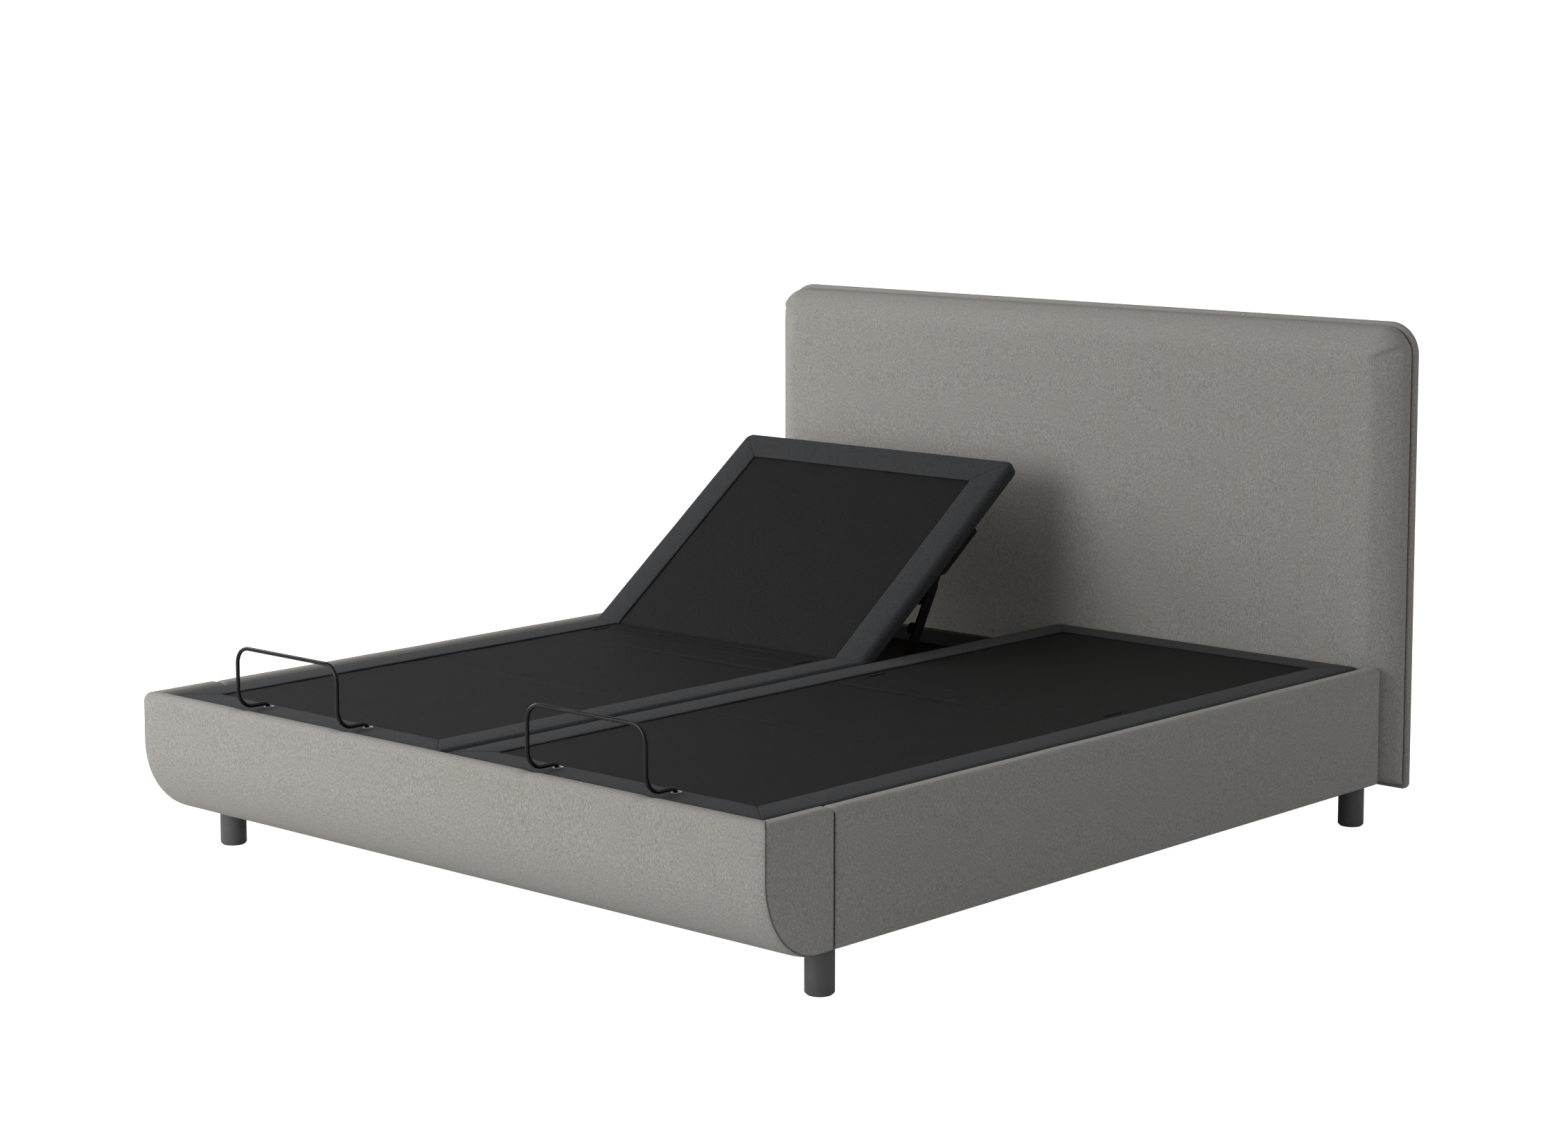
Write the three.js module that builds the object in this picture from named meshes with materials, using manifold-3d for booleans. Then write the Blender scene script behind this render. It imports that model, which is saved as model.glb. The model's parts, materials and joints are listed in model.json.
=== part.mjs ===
// Adjustable double bed: two motor-driven single bases side by side inside one upholstered surround.
// Millimetres, +Z up, +Y towards the headboard. Lengths are worked out from the foot end of the bed,
// heights from the floor and widths from the bed's centre line; the finished group is centred on y.
import * as THREE from 'three'
import { mergeVertices } from 'three/addons/utils/BufferGeometryUtils.js'
import Module from 'manifold-3d'

const wasm = await Module()
wasm.setup()

// Overall sizes
const BED_WIDTH = 1900
const BED_HALF = BED_WIDTH / 2
const UPHOLSTERY = 40
const RAIL_BOTTOM = 97
const RAIL_TOP = 375
const SEAM_GAP = 0.3
const OVERLAP = 1
const RAIL_LOWER_ROUNDING = 6
const RAIL_UPPER_ROUNDING = 12

// Footboard: a curved front between two D-shaped ends
const FOOT_TOP = 380
const FOOT_FRONT = -6
const FOOT_DEPTH = 198
const FOOT_BACK_EASE = 2
const FOOT_CURVE_Y = 152
const FOOT_CURVE_Z = 267
const FOOT_THICKNESS = 42
const FOOT_ROUNDING = 10
const RAIL_START = 200

// Headboard: a padded cushion on a wider back panel
const CUSHION_FRONT = 2124
const CUSHION_HALF = 973
const CUSHION_BOTTOM = 90
const CUSHION_TOP = 1170
const CUSHION_CORNER = 67
const CUSHION_FOOT_CORNER = 2
const CUSHION_ROUNDING = 22
const PANEL_FRONT = 2200
const PANEL_BACK = 2222
const PANEL_HALF = 979
const PANEL_BOTTOM = 76
const PANEL_TOP = 1180
const PANEL_CORNER = 75
const PANEL_FOOT_CORNER = 15
const CROSS_RAIL_FRONT = 2080
const CROSS_RAIL_BACK = 2118
const CROSS_RAIL_TOP = 300

// Legs, their screw plates and the centre support
const LEG_RADIUS = 30
const LEG_EASE = 2
const LEG_X = 901
const LEG_FRONT_Y = 207.5
const LEG_REAR_Y = 2087
const LEG_TOP = RAIL_BOTTOM - SEAM_GAP
const PLATE_INNER = 850
const PLATE_OUTER = BED_HALF - UPHOLSTERY - 0.5
const PLATE_FRONT_Y = 205
const PLATE_REAR_Y = 2029
const PLATE_LENGTH = 50
const PLATE_THICKNESS = 4

// Mattress decks
const DECK_INNER = 5
const DECK_OUTER = 905
const BOARD_INSET = 12
const DECK_UNDER = 331
const BOARD_THICKNESS = 16
const PAD_THICKNESS = 23.7
const DECK_FOOT = 47
const KNEE = 510
const HIP = 930
const BACK_HINGE = 1389
const DECK_HEAD = 2120
const HEAD_CORNER = 24
const BOARD_GAP = 10.5
const KNEE_PAD_GAP = 3
const HIP_PAD_GAP = 13.5
const BACK_PAD_GAP = 24
const HINGE_ROD = 4.5

// Fixed steel frame of each base
const TUBE_WIDTH = 30
const TUBE_WALL = 2.5
const FRAME_INNER = 12
const FRAME_OUTER = BED_HALF - UPHOLSTERY - SEAM_GAP - TUBE_WIDTH
const FRAME_BOTTOM = 286
const FRAME_TOP = 326
const FRAME_FOOT = 60
const FRAME_HEAD = 2070
const CROSS_TOP = 320
const BEAM_HALF = 50
const BEAM_TOP = FRAME_BOTTOM - SEAM_GAP
const BEAM_BOTTOM = 236
const CENTRE_LEG_Y = 1050

// Twin-motor drive
const DRIVE_X = [395, 515]
const DRIVE_Z = [222, 318]
const DRIVE_END = 20
const DRIVE_EYE_RADIUS = 26
const SHAFT_PLAY = 0.6
const DRIVE_SLOT_X = [445, 465]
const DRIVE_SLOT_Z = [200, 340]
const DRIVE_SLOT_LONG = 64
const DRIVE_SLOT_SHORT = 40
const INLET_X = [505, 525]
const INLET_Y = [1150, 1178]
const INLET_Z = [250, 270]

// Lift mechanism
const LIFT_Z = 300
const BACK_SHAFT = 1480
const LEG_SHAFT = 850
const SHAFT_RADIUS = 14
const STUB_RADIUS = 8
const STUB_LENGTH = 20
const SHAFT_INNER = 42.5
const SHAFT_OUTER = FRAME_OUTER - 0.5
const ARM_INSET = 60
const ARM_THICKNESS = 6
const ARM_WIDTH = 30
const ARM_NECK = 0.8
const ARM_NECK_WIDTH = 22
const BACK_ARM = 360.3
const BACK_ELBOW = [108.8, -69.4]
const BACK_TIE = [269.4, -24.9]
const BACK_KNUCKLE = [195.1, -44]
const LEG_ARM = 240
const LEVER_X = [449, 461]
const LEVER_ROOT = 11
const LEVER_TIP = 45
const LEVER_WIDTH = 20
const BACK_LEVER_ANGLE = -135
const LEG_LEVER_ANGLE = -45
const TIE_RADIUS = 12
const KNUCKLE_RADIUS = 17
const KNUCKLE_LENGTH = 16
const STUB_PLAY = 0.5
const STUB_CLEARANCE = 2
const GLIDE_RADIUS = 10
const GLIDE_OVERHANG = 7.5
const DECK_MIDDLE = (DECK_INNER + DECK_OUTER) / 2
const ARM_NEAR = [ARM_INSET, ARM_INSET + ARM_THICKNESS]
const ARM_FAR = ARM_NEAR.map(x => 2 * DECK_MIDDLE - x).reverse()

// Steel channels that the back lift's glides run in
const CHANNEL_REACH = 14
const CHANNEL_EYE_RADIUS = 8.5
const STRAP_START = 6
const STRAP_THICKNESS = 5
const CHANNEL_WALL = 3
const CHANNEL_START = 288
const CHANNEL_END = 552
const CHANNEL_PROFILE = [[322, -30], [378, -30], [402, -42], [CHANNEL_END, -42]]

// Rest angles in degrees: the left back section stands raised, everything else lies flat
const LEFT_BACK_ANGLE = 36.7
const BACK_ARM_FLAT = 2.1
const LEG_ARM_FLAT = 3.3
const BACK_ARM_RATIO = 1.17

// Mattress retainers
const RETAINER_ROD = 4.5
const RETAINER_CENTRE = 459
const RETAINER_HALF = 166.5
const RETAINER_POST_Y = 12
const RETAINER_FOOT_Z = 382
const RETAINER_TOP_Z = 518
const RETAINER_SLOT_Y = 95
const RETAINER_BEND = 40
const RETAINER_CORNER = 36
const RETAINER_DIP = 12
const RETAINER_SOCKET = 2
const RETAINER_STEPS = 64
const RETAINER_HOLE = 6
const RETAINER_HOLE_LENGTH = 100
const ARC_HANDLE = 0.5523
const GROMMET_HALF = 8.5
const GROMMET_NOSE = 11
const GROMMET_TAIL = 14
const GROMMET_ROUND = 7.5
const GROMMET_RIM = 3
const GROMMET_HEIGHT = 1.5

const SIDES = [['left', -1], ['right', 1]]
const bed = new THREE.Group()

// ---------- shared shaping helpers ----------

function solidOf(geometry) {
  const bare = geometry.clone()
  bare.deleteAttribute('normal')
  bare.deleteAttribute('uv')
  const merged = mergeVertices(bare)
  return new wasm.Manifold(new wasm.Mesh({
    numProp: 3,
    vertProperties: new Float32Array(merged.attributes.position.array),
    triVerts: new Uint32Array(merged.index.array),
  }))
}

function geometryOf(solid) {
  const mesh = solid.getMesh()
  const geometry = new THREE.BufferGeometry()
  geometry.setAttribute('position', new THREE.BufferAttribute(mesh.vertProperties, 3))
  geometry.setIndex(new THREE.BufferAttribute(mesh.triVerts, 1))
  geometry.computeVertexNormals()
  return geometry
}

function joined(...geometries) {
  return geometryOf(geometries.map(solidOf).reduce((whole, piece) => whole.add(piece)))
}

function cut(geometry, ...tools) {
  return geometryOf(tools.map(solidOf).reduce((whole, tool) => whole.subtract(tool), solidOf(geometry)))
}

function common(first, second) {
  return geometryOf(solidOf(first).intersect(solidOf(second)))
}

function box([x0, x1], [y0, y1], [z0, z1]) {
  const geometry = new THREE.BoxGeometry(x1 - x0, y1 - y0, z1 - z0)
  return geometry.translate((x0 + x1) / 2, (y0 + y1) / 2, (z0 + z1) / 2)
}

// A width range stated from the centre line, on the given side of the bed
function span(side, near, far) {
  return side > 0 ? [near, far] : [-far, -near]
}

// A profile drawn in y and z, carried across the bed
function across(shape, [x0, x1], curveSegments = 8) {
  const geometry = new THREE.ExtrudeGeometry(shape, { depth: x1 - x0, bevelEnabled: false, curveSegments })
  const turn = new THREE.Matrix4().makeBasis(
    new THREE.Vector3(0, 1, 0), new THREE.Vector3(0, 0, 1), new THREE.Vector3(1, 0, 0))
  return geometry.applyMatrix4(turn).translate(x0, 0, 0)
}

// A profile drawn in x and z, carried along the bed
function along(shape, [y0, y1]) {
  const geometry = new THREE.ExtrudeGeometry(shape, { depth: y1 - y0, bevelEnabled: false, curveSegments: 4 })
  const turn = new THREE.Matrix4().makeBasis(
    new THREE.Vector3(1, 0, 0), new THREE.Vector3(0, 0, 1), new THREE.Vector3(0, -1, 0))
  return geometry.applyMatrix4(turn).translate(0, y1, 0)
}

// A plan outline drawn in x and y, carried upwards
function upward(shape, [z0, z1]) {
  const geometry = new THREE.ExtrudeGeometry(shape, { depth: z1 - z0, bevelEnabled: false, curveSegments: 4 })
  return geometry.translate(0, 0, z0)
}

function outline(points) {
  return new THREE.Shape(points.map(([a, b]) => new THREE.Vector2(a, b)))
}

// A rectangle with its own radius at each corner: lower left, lower right, upper right, upper left
function roundedRectangle([a0, a1], [b0, b1], [lowerLeft, lowerRight, upperRight, upperLeft]) {
  const shape = new THREE.Shape()
  shape.moveTo(a0 + lowerLeft, b0)
  shape.lineTo(a1 - lowerRight, b0)
  if (lowerRight) shape.absarc(a1 - lowerRight, b0 + lowerRight, lowerRight, -Math.PI / 2, 0, false)
  shape.lineTo(a1, b1 - upperRight)
  if (upperRight) shape.absarc(a1 - upperRight, b1 - upperRight, upperRight, 0, Math.PI / 2, false)
  shape.lineTo(a0 + upperLeft, b1)
  if (upperLeft) shape.absarc(a0 + upperLeft, b1 - upperLeft, upperLeft, Math.PI / 2, Math.PI, false)
  shape.lineTo(a0, b0 + lowerLeft)
  if (lowerLeft) shape.absarc(a0 + lowerLeft, b0 + lowerLeft, lowerLeft, Math.PI, Math.PI * 1.5, false)
  return shape
}

// A round bar lying across the bed
function rod(radius, [x0, x1], y, z, sides = 16) {
  const geometry = new THREE.CylinderGeometry(radius, radius, x1 - x0, sides)
  return geometry.rotateZ(Math.PI / 2).translate((x0 + x1) / 2, y, z)
}

// A flat bar with round ends between two points of the y-z plane
function flatBar([x0, x1], [ya, za], [yb, zb], width) {
  const length = Math.hypot(yb - ya, zb - za)
  const half = width / 2
  const shape = new THREE.Shape()
  shape.absarc(length, 0, half, -Math.PI / 2, Math.PI / 2, false)
  shape.absarc(0, 0, half, Math.PI / 2, Math.PI * 1.5, false)
  return across(shape, [x0, x1], 5).rotateX(Math.atan2(zb - za, yb - ya)).translate(0, ya, za)
}

// A steel tube with a square hole through its length, given by its three ranges and the way it runs
function squareTube(x, y, z, runsAcross) {
  const inner = ([low, high]) => [low + TUBE_WALL, high - TUBE_WALL]
  const through = ([low, high]) => [low - 1, high + 1]
  const hole = runsAcross ? box(through(x), inner(y), inner(z)) : box(inner(x), through(y), inner(z))
  return cut(box(x, y, z), hole)
}

function add(parent, name, geometry, material) {
  const mesh = new THREE.Mesh(geometry, material)
  mesh.name = name
  parent.add(mesh)
}

// A group that turns about a line across the bed, holding pieces drawn in the bed's own flat pose
function turned(y, z, degrees) {
  const pivot = new THREE.Group()
  pivot.position.set(0, y, z)
  pivot.rotation.x = THREE.MathUtils.degToRad(degrees)
  const pieces = new THREE.Group()
  pieces.position.set(0, -y, -z)
  pivot.add(pieces)
  bed.add(pivot)
  return pieces
}

// ---------- materials ----------

function finish(color, roughness, metalness) {
  return new THREE.MeshStandardMaterial({ color, roughness, metalness })
}

const melangeFabric = finish(0xa09a92, 0.95, 0)
const borderFabric = finish(0x3e4043, 0.9, 0)
const blackSteel = finish(0x101011, 0.45, 0.8)
const legMetal = finish(0x464648, 0.5, 0.4)
const plywood = finish(0xb89468, 0.7, 0)
const drivePlastic = finish(0x1c1c1e, 0.55, 0)
const grommetPlastic = finish(0xe6e6e4, 0.5, 0)

// ---------- upholstered surround ----------

// The footboard's side profile: an elliptical sweep from the upright front down to the flat underside
function footSweep(offset, drop) {
  const shape = new THREE.Shape()
  shape.moveTo(offset, FOOT_CURVE_Z)
  shape.absellipse(FOOT_CURVE_Y, FOOT_CURVE_Z, FOOT_CURVE_Y - offset, drop, Math.PI, Math.PI * 1.5, false, 0)
  return shape
}

// Rounds the top of a profile from its back edge over to its front edge
function roundTop(shape, front, back) {
  const centre = FOOT_TOP - FOOT_ROUNDING
  shape.absarc(back - FOOT_ROUNDING, centre, FOOT_ROUNDING, 0, Math.PI / 2, false)
  shape.absarc(front + FOOT_ROUNDING, centre, FOOT_ROUNDING, Math.PI / 2, Math.PI, false)
  return shape
}

function footboardFront() {
  const end = FOOT_DEPTH - FOOT_BACK_EASE
  const drop = FOOT_CURVE_Z - RAIL_BOTTOM
  const shape = footSweep(FOOT_FRONT, drop)
  shape.lineTo(end, RAIL_BOTTOM)
  shape.lineTo(end, RAIL_BOTTOM + FOOT_THICKNESS)
  const inner = footSweep(FOOT_THICKNESS, drop - FOOT_THICKNESS).getPoints(10).reverse()
  inner.forEach(point => shape.lineTo(point.x, point.y))
  const half = BED_HALF - UPHOLSTERY + OVERLAP
  return across(roundTop(shape, FOOT_FRONT, FOOT_THICKNESS), [-half, half])
}

function footboardEnd(side) {
  const shape = footSweep(0, FOOT_CURVE_Z - RAIL_BOTTOM)
  shape.lineTo(FOOT_DEPTH, RAIL_BOTTOM)
  const inner = BED_HALF - UPHOLSTERY + OVERLAP + SEAM_GAP
  return across(roundTop(shape, 0, FOOT_DEPTH), span(side, inner, BED_HALF))
}

function sideRail(side) {
  const [x0, x1] = span(side, BED_HALF - UPHOLSTERY, BED_HALF)
  const corners = [RAIL_LOWER_ROUNDING, RAIL_LOWER_ROUNDING, RAIL_UPPER_ROUNDING, RAIL_UPPER_ROUNDING]
  const shape = roundedRectangle([x0, x1], [RAIL_BOTTOM, RAIL_TOP], corners)
  return along(shape, [RAIL_START, CUSHION_FRONT - OVERLAP])
}

function headboardCushion() {
  const inset = CUSHION_ROUNDING
  const corner = CUSHION_CORNER - inset
  const face = roundedRectangle([-CUSHION_HALF + inset, CUSHION_HALF - inset],
    [CUSHION_BOTTOM + inset, CUSHION_TOP - inset], [CUSHION_FOOT_CORNER, CUSHION_FOOT_CORNER, corner, corner])
  const depth = PANEL_FRONT - SEAM_GAP - CUSHION_FRONT
  const pillow = new THREE.ExtrudeGeometry(face, {
    depth, bevelEnabled: true, bevelThickness: inset, bevelSize: inset, bevelSegments: 3, curveSegments: 6,
  })
  const turn = new THREE.Matrix4().makeBasis(
    new THREE.Vector3(1, 0, 0), new THREE.Vector3(0, 0, 1), new THREE.Vector3(0, -1, 0))
  pillow.applyMatrix4(turn).translate(0, CUSHION_FRONT + inset + depth, 0)
  const behind = [PANEL_FRONT - SEAM_GAP, PANEL_BACK + depth]
  const back = box([-BED_WIDTH, BED_WIDTH], behind, [0, 2 * CUSHION_TOP])
  return cut(pillow, back)
}

function headboardPanel() {
  const corners = [PANEL_FOOT_CORNER, PANEL_FOOT_CORNER, PANEL_CORNER, PANEL_CORNER]
  const shape = roundedRectangle([-PANEL_HALF, PANEL_HALF], [PANEL_BOTTOM, PANEL_TOP], corners)
  return along(shape, [PANEL_FRONT, PANEL_BACK])
}

function surround() {
  add(bed, 'footboard_front', footboardFront(), melangeFabric)
  add(bed, 'headboard_cushion', headboardCushion(), melangeFabric)
  add(bed, 'headboard_panel', headboardPanel(), melangeFabric)
  const railWidth = BED_HALF - UPHOLSTERY - SEAM_GAP
  const crossRail = box([-railWidth, railWidth], [CROSS_RAIL_FRONT, CROSS_RAIL_BACK],
    [RAIL_BOTTOM, CROSS_RAIL_TOP])
  add(bed, 'head_cross_rail', crossRail, melangeFabric)
  for (const [name, side] of SIDES) {
    add(bed, `footboard_end_${name}`, footboardEnd(side), melangeFabric)
    add(bed, `side_rail_${name}`, sideRail(side), melangeFabric)
  }
}

// ---------- legs and centre support ----------

function post(x, y, top) {
  const end = LEG_RADIUS - LEG_EASE
  const profile = [[0, 0], [end, 0], [LEG_RADIUS, LEG_EASE], [LEG_RADIUS, top - LEG_EASE], [end, top],
    [0, top]]
  const geometry = new THREE.LatheGeometry(profile.map(([r, z]) => new THREE.Vector2(r, z)), 24)
  return geometry.rotateX(Math.PI / 2).translate(x, y, 0)
}

// A corner leg with the screw plate that reaches inwards under the surround
function cornerLeg(side, y, plateFrom) {
  const plate = box(span(side, PLATE_INNER, PLATE_OUTER), [plateFrom, plateFrom + PLATE_LENGTH],
    [LEG_TOP - OVERLAP, LEG_TOP + PLATE_THICKNESS])
  return joined(post(side * LEG_X, y, LEG_TOP), plate)
}

function supports() {
  for (const [name, side] of SIDES) {
    add(bed, `leg_front_${name}`, cornerLeg(side, LEG_FRONT_Y, PLATE_FRONT_Y), legMetal)
    add(bed, `leg_rear_${name}`, cornerLeg(side, LEG_REAR_Y, PLATE_REAR_Y), legMetal)
  }
  const beam = box([-BEAM_HALF, BEAM_HALF], [FRAME_FOOT, FRAME_HEAD], [BEAM_BOTTOM, BEAM_TOP])
  add(bed, 'centre_beam', beam, plywood)
  add(bed, 'centre_leg', post(0, CENTRE_LEG_Y, BEAM_BOTTOM - SEAM_GAP), legMetal)
}

// ---------- fixed frame of one base ----------

function frameSide(side, near, stubFrom) {
  const tube = squareTube(span(side, near, near + TUBE_WIDTH), [FRAME_FOOT, FRAME_HEAD],
    [FRAME_BOTTOM, FRAME_TOP], false)
  const stub = y => rod(STUB_RADIUS, span(side, stubFrom, stubFrom + STUB_LENGTH + OVERLAP), y, LIFT_Z)
  return joined(tube, stub(BACK_SHAFT), stub(LEG_SHAFT))
}

function frameCross(side, y0) {
  const reach = span(side, FRAME_INNER + TUBE_WIDTH + SEAM_GAP, FRAME_OUTER - SEAM_GAP)
  return squareTube(reach, [y0, y0 + TUBE_WIDTH], [FRAME_BOTTOM, CROSS_TOP], true)
}

// Twin-motor drive that hangs on both lift shafts, with slots where the shafts' levers swing
function driveHousing(side) {
  const width = span(side, ...DRIVE_X)
  const through = span(side, DRIVE_X[0] - OVERLAP, DRIVE_X[1] + OVERLAP)
  const eye = y => rod(DRIVE_EYE_RADIUS, width, y, LIFT_Z)
  const bore = y => rod(SHAFT_RADIUS + SHAFT_PLAY, through, y, LIFT_Z)
  const slot = (from, to) => box(span(side, ...DRIVE_SLOT_X), [from, to], DRIVE_SLOT_Z)
  const body = box(width, [LEG_SHAFT + DRIVE_END, BACK_SHAFT - DRIVE_END], DRIVE_Z)
  const inlet = box(span(side, ...INLET_X), INLET_Y, INLET_Z)
  return cut(joined(body, eye(BACK_SHAFT), eye(LEG_SHAFT)), bore(BACK_SHAFT), bore(LEG_SHAFT),
    slot(BACK_SHAFT - DRIVE_SLOT_LONG, BACK_SHAFT + DRIVE_SLOT_SHORT),
    slot(LEG_SHAFT - DRIVE_SLOT_SHORT, LEG_SHAFT + DRIVE_SLOT_LONG), inlet)
}

function hingeRod(side, y) {
  return rod(HINGE_ROD, span(side, FRAME_INNER, DECK_OUTER - BOARD_INSET), y, DECK_UNDER, 12)
}

function fixedFrame(name, side) {
  const inner = FRAME_INNER + TUBE_WIDTH
  add(bed, `frame_side_inner_${name}`, frameSide(side, FRAME_INNER, inner - OVERLAP), blackSteel)
  add(bed, `frame_side_outer_${name}`, frameSide(side, FRAME_OUTER, FRAME_OUTER - STUB_LENGTH), blackSteel)
  add(bed, `frame_cross_foot_${name}`, frameCross(side, FRAME_FOOT), blackSteel)
  add(bed, `frame_cross_head_${name}`, frameCross(side, FRAME_HEAD - TUBE_WIDTH), blackSteel)
  add(bed, `drive_housing_${name}`, driveHousing(side), drivePlastic)
  add(bed, `hip_hinge_rod_${name}`, hingeRod(side, HIP), blackSteel)
  add(bed, `back_hinge_rod_${name}`, hingeRod(side, BACK_HINGE), blackSteel)
}

// ---------- deck sections ----------

function board(side, [y0, y1]) {
  const x = span(side, DECK_INNER + BOARD_INSET, DECK_OUTER - BOARD_INSET)
  return box(x, [y0, y1], [DECK_UNDER, DECK_UNDER + BOARD_THICKNESS])
}

// A pad whose ends lean back from the hinges, so that the fold has room
function pad(side, [foot, footTop], [head, headTop]) {
  const bottom = DECK_UNDER + BOARD_THICKNESS + SEAM_GAP
  const top = bottom + PAD_THICKNESS
  const shape = outline([[foot, bottom], [head, bottom], [headTop, top], [footTop, top]])
  return across(shape, span(side, DECK_INNER, DECK_OUTER))
}

function headCorners(side, inset) {
  const x = span(side, DECK_INNER + inset, DECK_OUTER - inset)
  const shape = roundedRectangle(x, [HIP, DECK_HEAD - inset], [0, 0, HEAD_CORNER, HEAD_CORNER])
  return upward(shape, [0, FOOT_TOP])
}

function retainerHole(x) {
  return new THREE.CylinderGeometry(RETAINER_HOLE, RETAINER_HOLE, RETAINER_HOLE_LENGTH, 12)
    .rotateX(Math.PI / 2).translate(x, RETAINER_SLOT_Y, DECK_UNDER)
}

// Oblong eyelet round the slot where the retainer's rod goes down into the deck
function retainerGrommet(x) {
  const [x0, x1] = [x - GROMMET_HALF, x + GROMMET_HALF]
  const [y0, y1] = [RETAINER_SLOT_Y - GROMMET_NOSE, RETAINER_SLOT_Y + GROMMET_TAIL]
  const evenly = radius => [radius, radius, radius, radius]
  const shape = roundedRectangle([x0, x1], [y0, y1], evenly(GROMMET_ROUND))
  const within = [[x0 + GROMMET_RIM, x1 - GROMMET_RIM], [y0 + GROMMET_RIM, y1 - GROMMET_RIM]]
  shape.holes.push(roundedRectangle(...within, evenly(GROMMET_ROUND - GROMMET_RIM)))
  const bottom = DECK_UNDER + BOARD_THICKNESS + PAD_THICKNESS + 2 * SEAM_GAP
  return upward(shape, [bottom, bottom + GROMMET_HEIGHT])
}

function seatSection(name, side) {
  const foot = HIP + BOARD_GAP
  const head = BACK_HINGE - BOARD_GAP
  add(bed, `seat_board_${name}`, board(side, [foot, head]), plywood)
  const pieces = pad(side, [foot, HIP + HIP_PAD_GAP], [head, BACK_HINGE - BACK_PAD_GAP])
  add(bed, `seat_pad_${name}`, pieces, borderFabric)
}

function thighSection(name, side) {
  const foot = KNEE + BOARD_GAP
  const head = HIP - BOARD_GAP
  add(bed, `thigh_board_${name}`, board(side, [foot, head]), plywood)
  const cover = pad(side, [KNEE + KNEE_PAD_GAP, KNEE + KNEE_PAD_GAP], [head, HIP - HIP_PAD_GAP])
  add(bed, `thigh_pad_${name}`, cover, borderFabric)
  add(bed, `knee_hinge_rod_${name}`, hingeRod(side, KNEE), blackSteel)
}

function calfSection(name, side) {
  const head = KNEE - KNEE_PAD_GAP
  const rods = [RETAINER_CENTRE - RETAINER_HALF, RETAINER_CENTRE + RETAINER_HALF].map(x => side * x)
  const holes = rods.map(retainerHole)
  const wood = cut(board(side, [DECK_FOOT + BOARD_INSET, KNEE - BOARD_GAP]), ...holes)
  add(bed, `calf_board_${name}`, wood, plywood)
  add(bed, `calf_pad_${name}`, cut(pad(side, [DECK_FOOT, DECK_FOOT], [head, head]), ...holes), borderFabric)
  add(bed, `mattress_retainer_${name}`, mattressRetainer(...rods), blackSteel)
  add(bed, `retainer_grommet_inner_${name}`, retainerGrommet(rods[0]), grommetPlastic)
  add(bed, `retainer_grommet_outer_${name}`, retainerGrommet(rods[1]), grommetPlastic)
}

// One bent rod: down into the deck, forward, up, across and back the same way
function mattressRetainer(near, far) {
  const inward = (far - near) / Math.abs(far - near)
  const path = new THREE.CurvePath()
  const corner = (from, knee, to) => path.add(new THREE.CubicBezierCurve3(
    from, from.clone().lerp(knee, ARC_HANDLE), to.clone().lerp(knee, ARC_HANDLE), to))
  const line = (from, to) => path.add(new THREE.LineCurve3(from, to))
  const stations = (x, turn) => [
    new THREE.Vector3(x, RETAINER_SLOT_Y, DECK_UNDER + RETAINER_SOCKET),
    new THREE.Vector3(x, RETAINER_SLOT_Y, RETAINER_FOOT_Z - RETAINER_DIP),
    new THREE.Vector3(x, RETAINER_SLOT_Y, RETAINER_FOOT_Z),
    new THREE.Vector3(x, RETAINER_SLOT_Y - RETAINER_DIP, RETAINER_FOOT_Z),
    new THREE.Vector3(x, RETAINER_POST_Y + RETAINER_BEND, RETAINER_FOOT_Z),
    new THREE.Vector3(x, RETAINER_POST_Y, RETAINER_FOOT_Z),
    new THREE.Vector3(x, RETAINER_POST_Y, RETAINER_FOOT_Z + RETAINER_BEND),
    new THREE.Vector3(x, RETAINER_POST_Y, RETAINER_TOP_Z - RETAINER_CORNER),
    new THREE.Vector3(x, RETAINER_POST_Y, RETAINER_TOP_Z),
    new THREE.Vector3(x + turn * RETAINER_CORNER, RETAINER_POST_Y, RETAINER_TOP_Z),
  ]
  const rise = stations(near, inward)
  const fall = stations(far, -inward).reverse()
  line(rise[0], rise[1])
  corner(rise[1], rise[2], rise[3])
  line(rise[3], rise[4])
  corner(rise[4], rise[5], rise[6])
  line(rise[6], rise[7])
  corner(rise[7], rise[8], rise[9])
  line(rise[9], fall[0])
  corner(fall[0], fall[1], fall[2])
  line(fall[2], fall[3])
  corner(fall[3], fall[4], fall[5])
  line(fall[5], fall[6])
  corner(fall[6], fall[7], fall[8])
  line(fall[8], fall[9])
  return bentRod(path, RETAINER_ROD)
}

function bentRod(path, radius) {
  const section = new THREE.Shape()
  section.absarc(0, 0, radius, 0, Math.PI * 2, false)
  return new THREE.ExtrudeGeometry(section, { steps: RETAINER_STEPS, extrudePath: path, curveSegments: 4 })
}

// ---------- lift mechanism ----------

function rotated(points, degrees) {
  const angle = THREE.MathUtils.degToRad(degrees)
  const [y, z] = points
  return [y * Math.cos(angle) - z * Math.sin(angle), y * Math.sin(angle) + z * Math.cos(angle)]
}

// Bores at both ends of a lift shaft, which run on the fixed frame's stubs
function shaftBores(side, y) {
  const radius = STUB_RADIUS + STUB_PLAY
  const depth = STUB_LENGTH + STUB_CLEARANCE
  return [rod(radius, span(side, SHAFT_INNER - OVERLAP, SHAFT_INNER + depth), y, LIFT_Z),
    rod(radius, span(side, SHAFT_OUTER - depth, SHAFT_OUTER + OVERLAP), y, LIFT_Z)]
}

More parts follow.
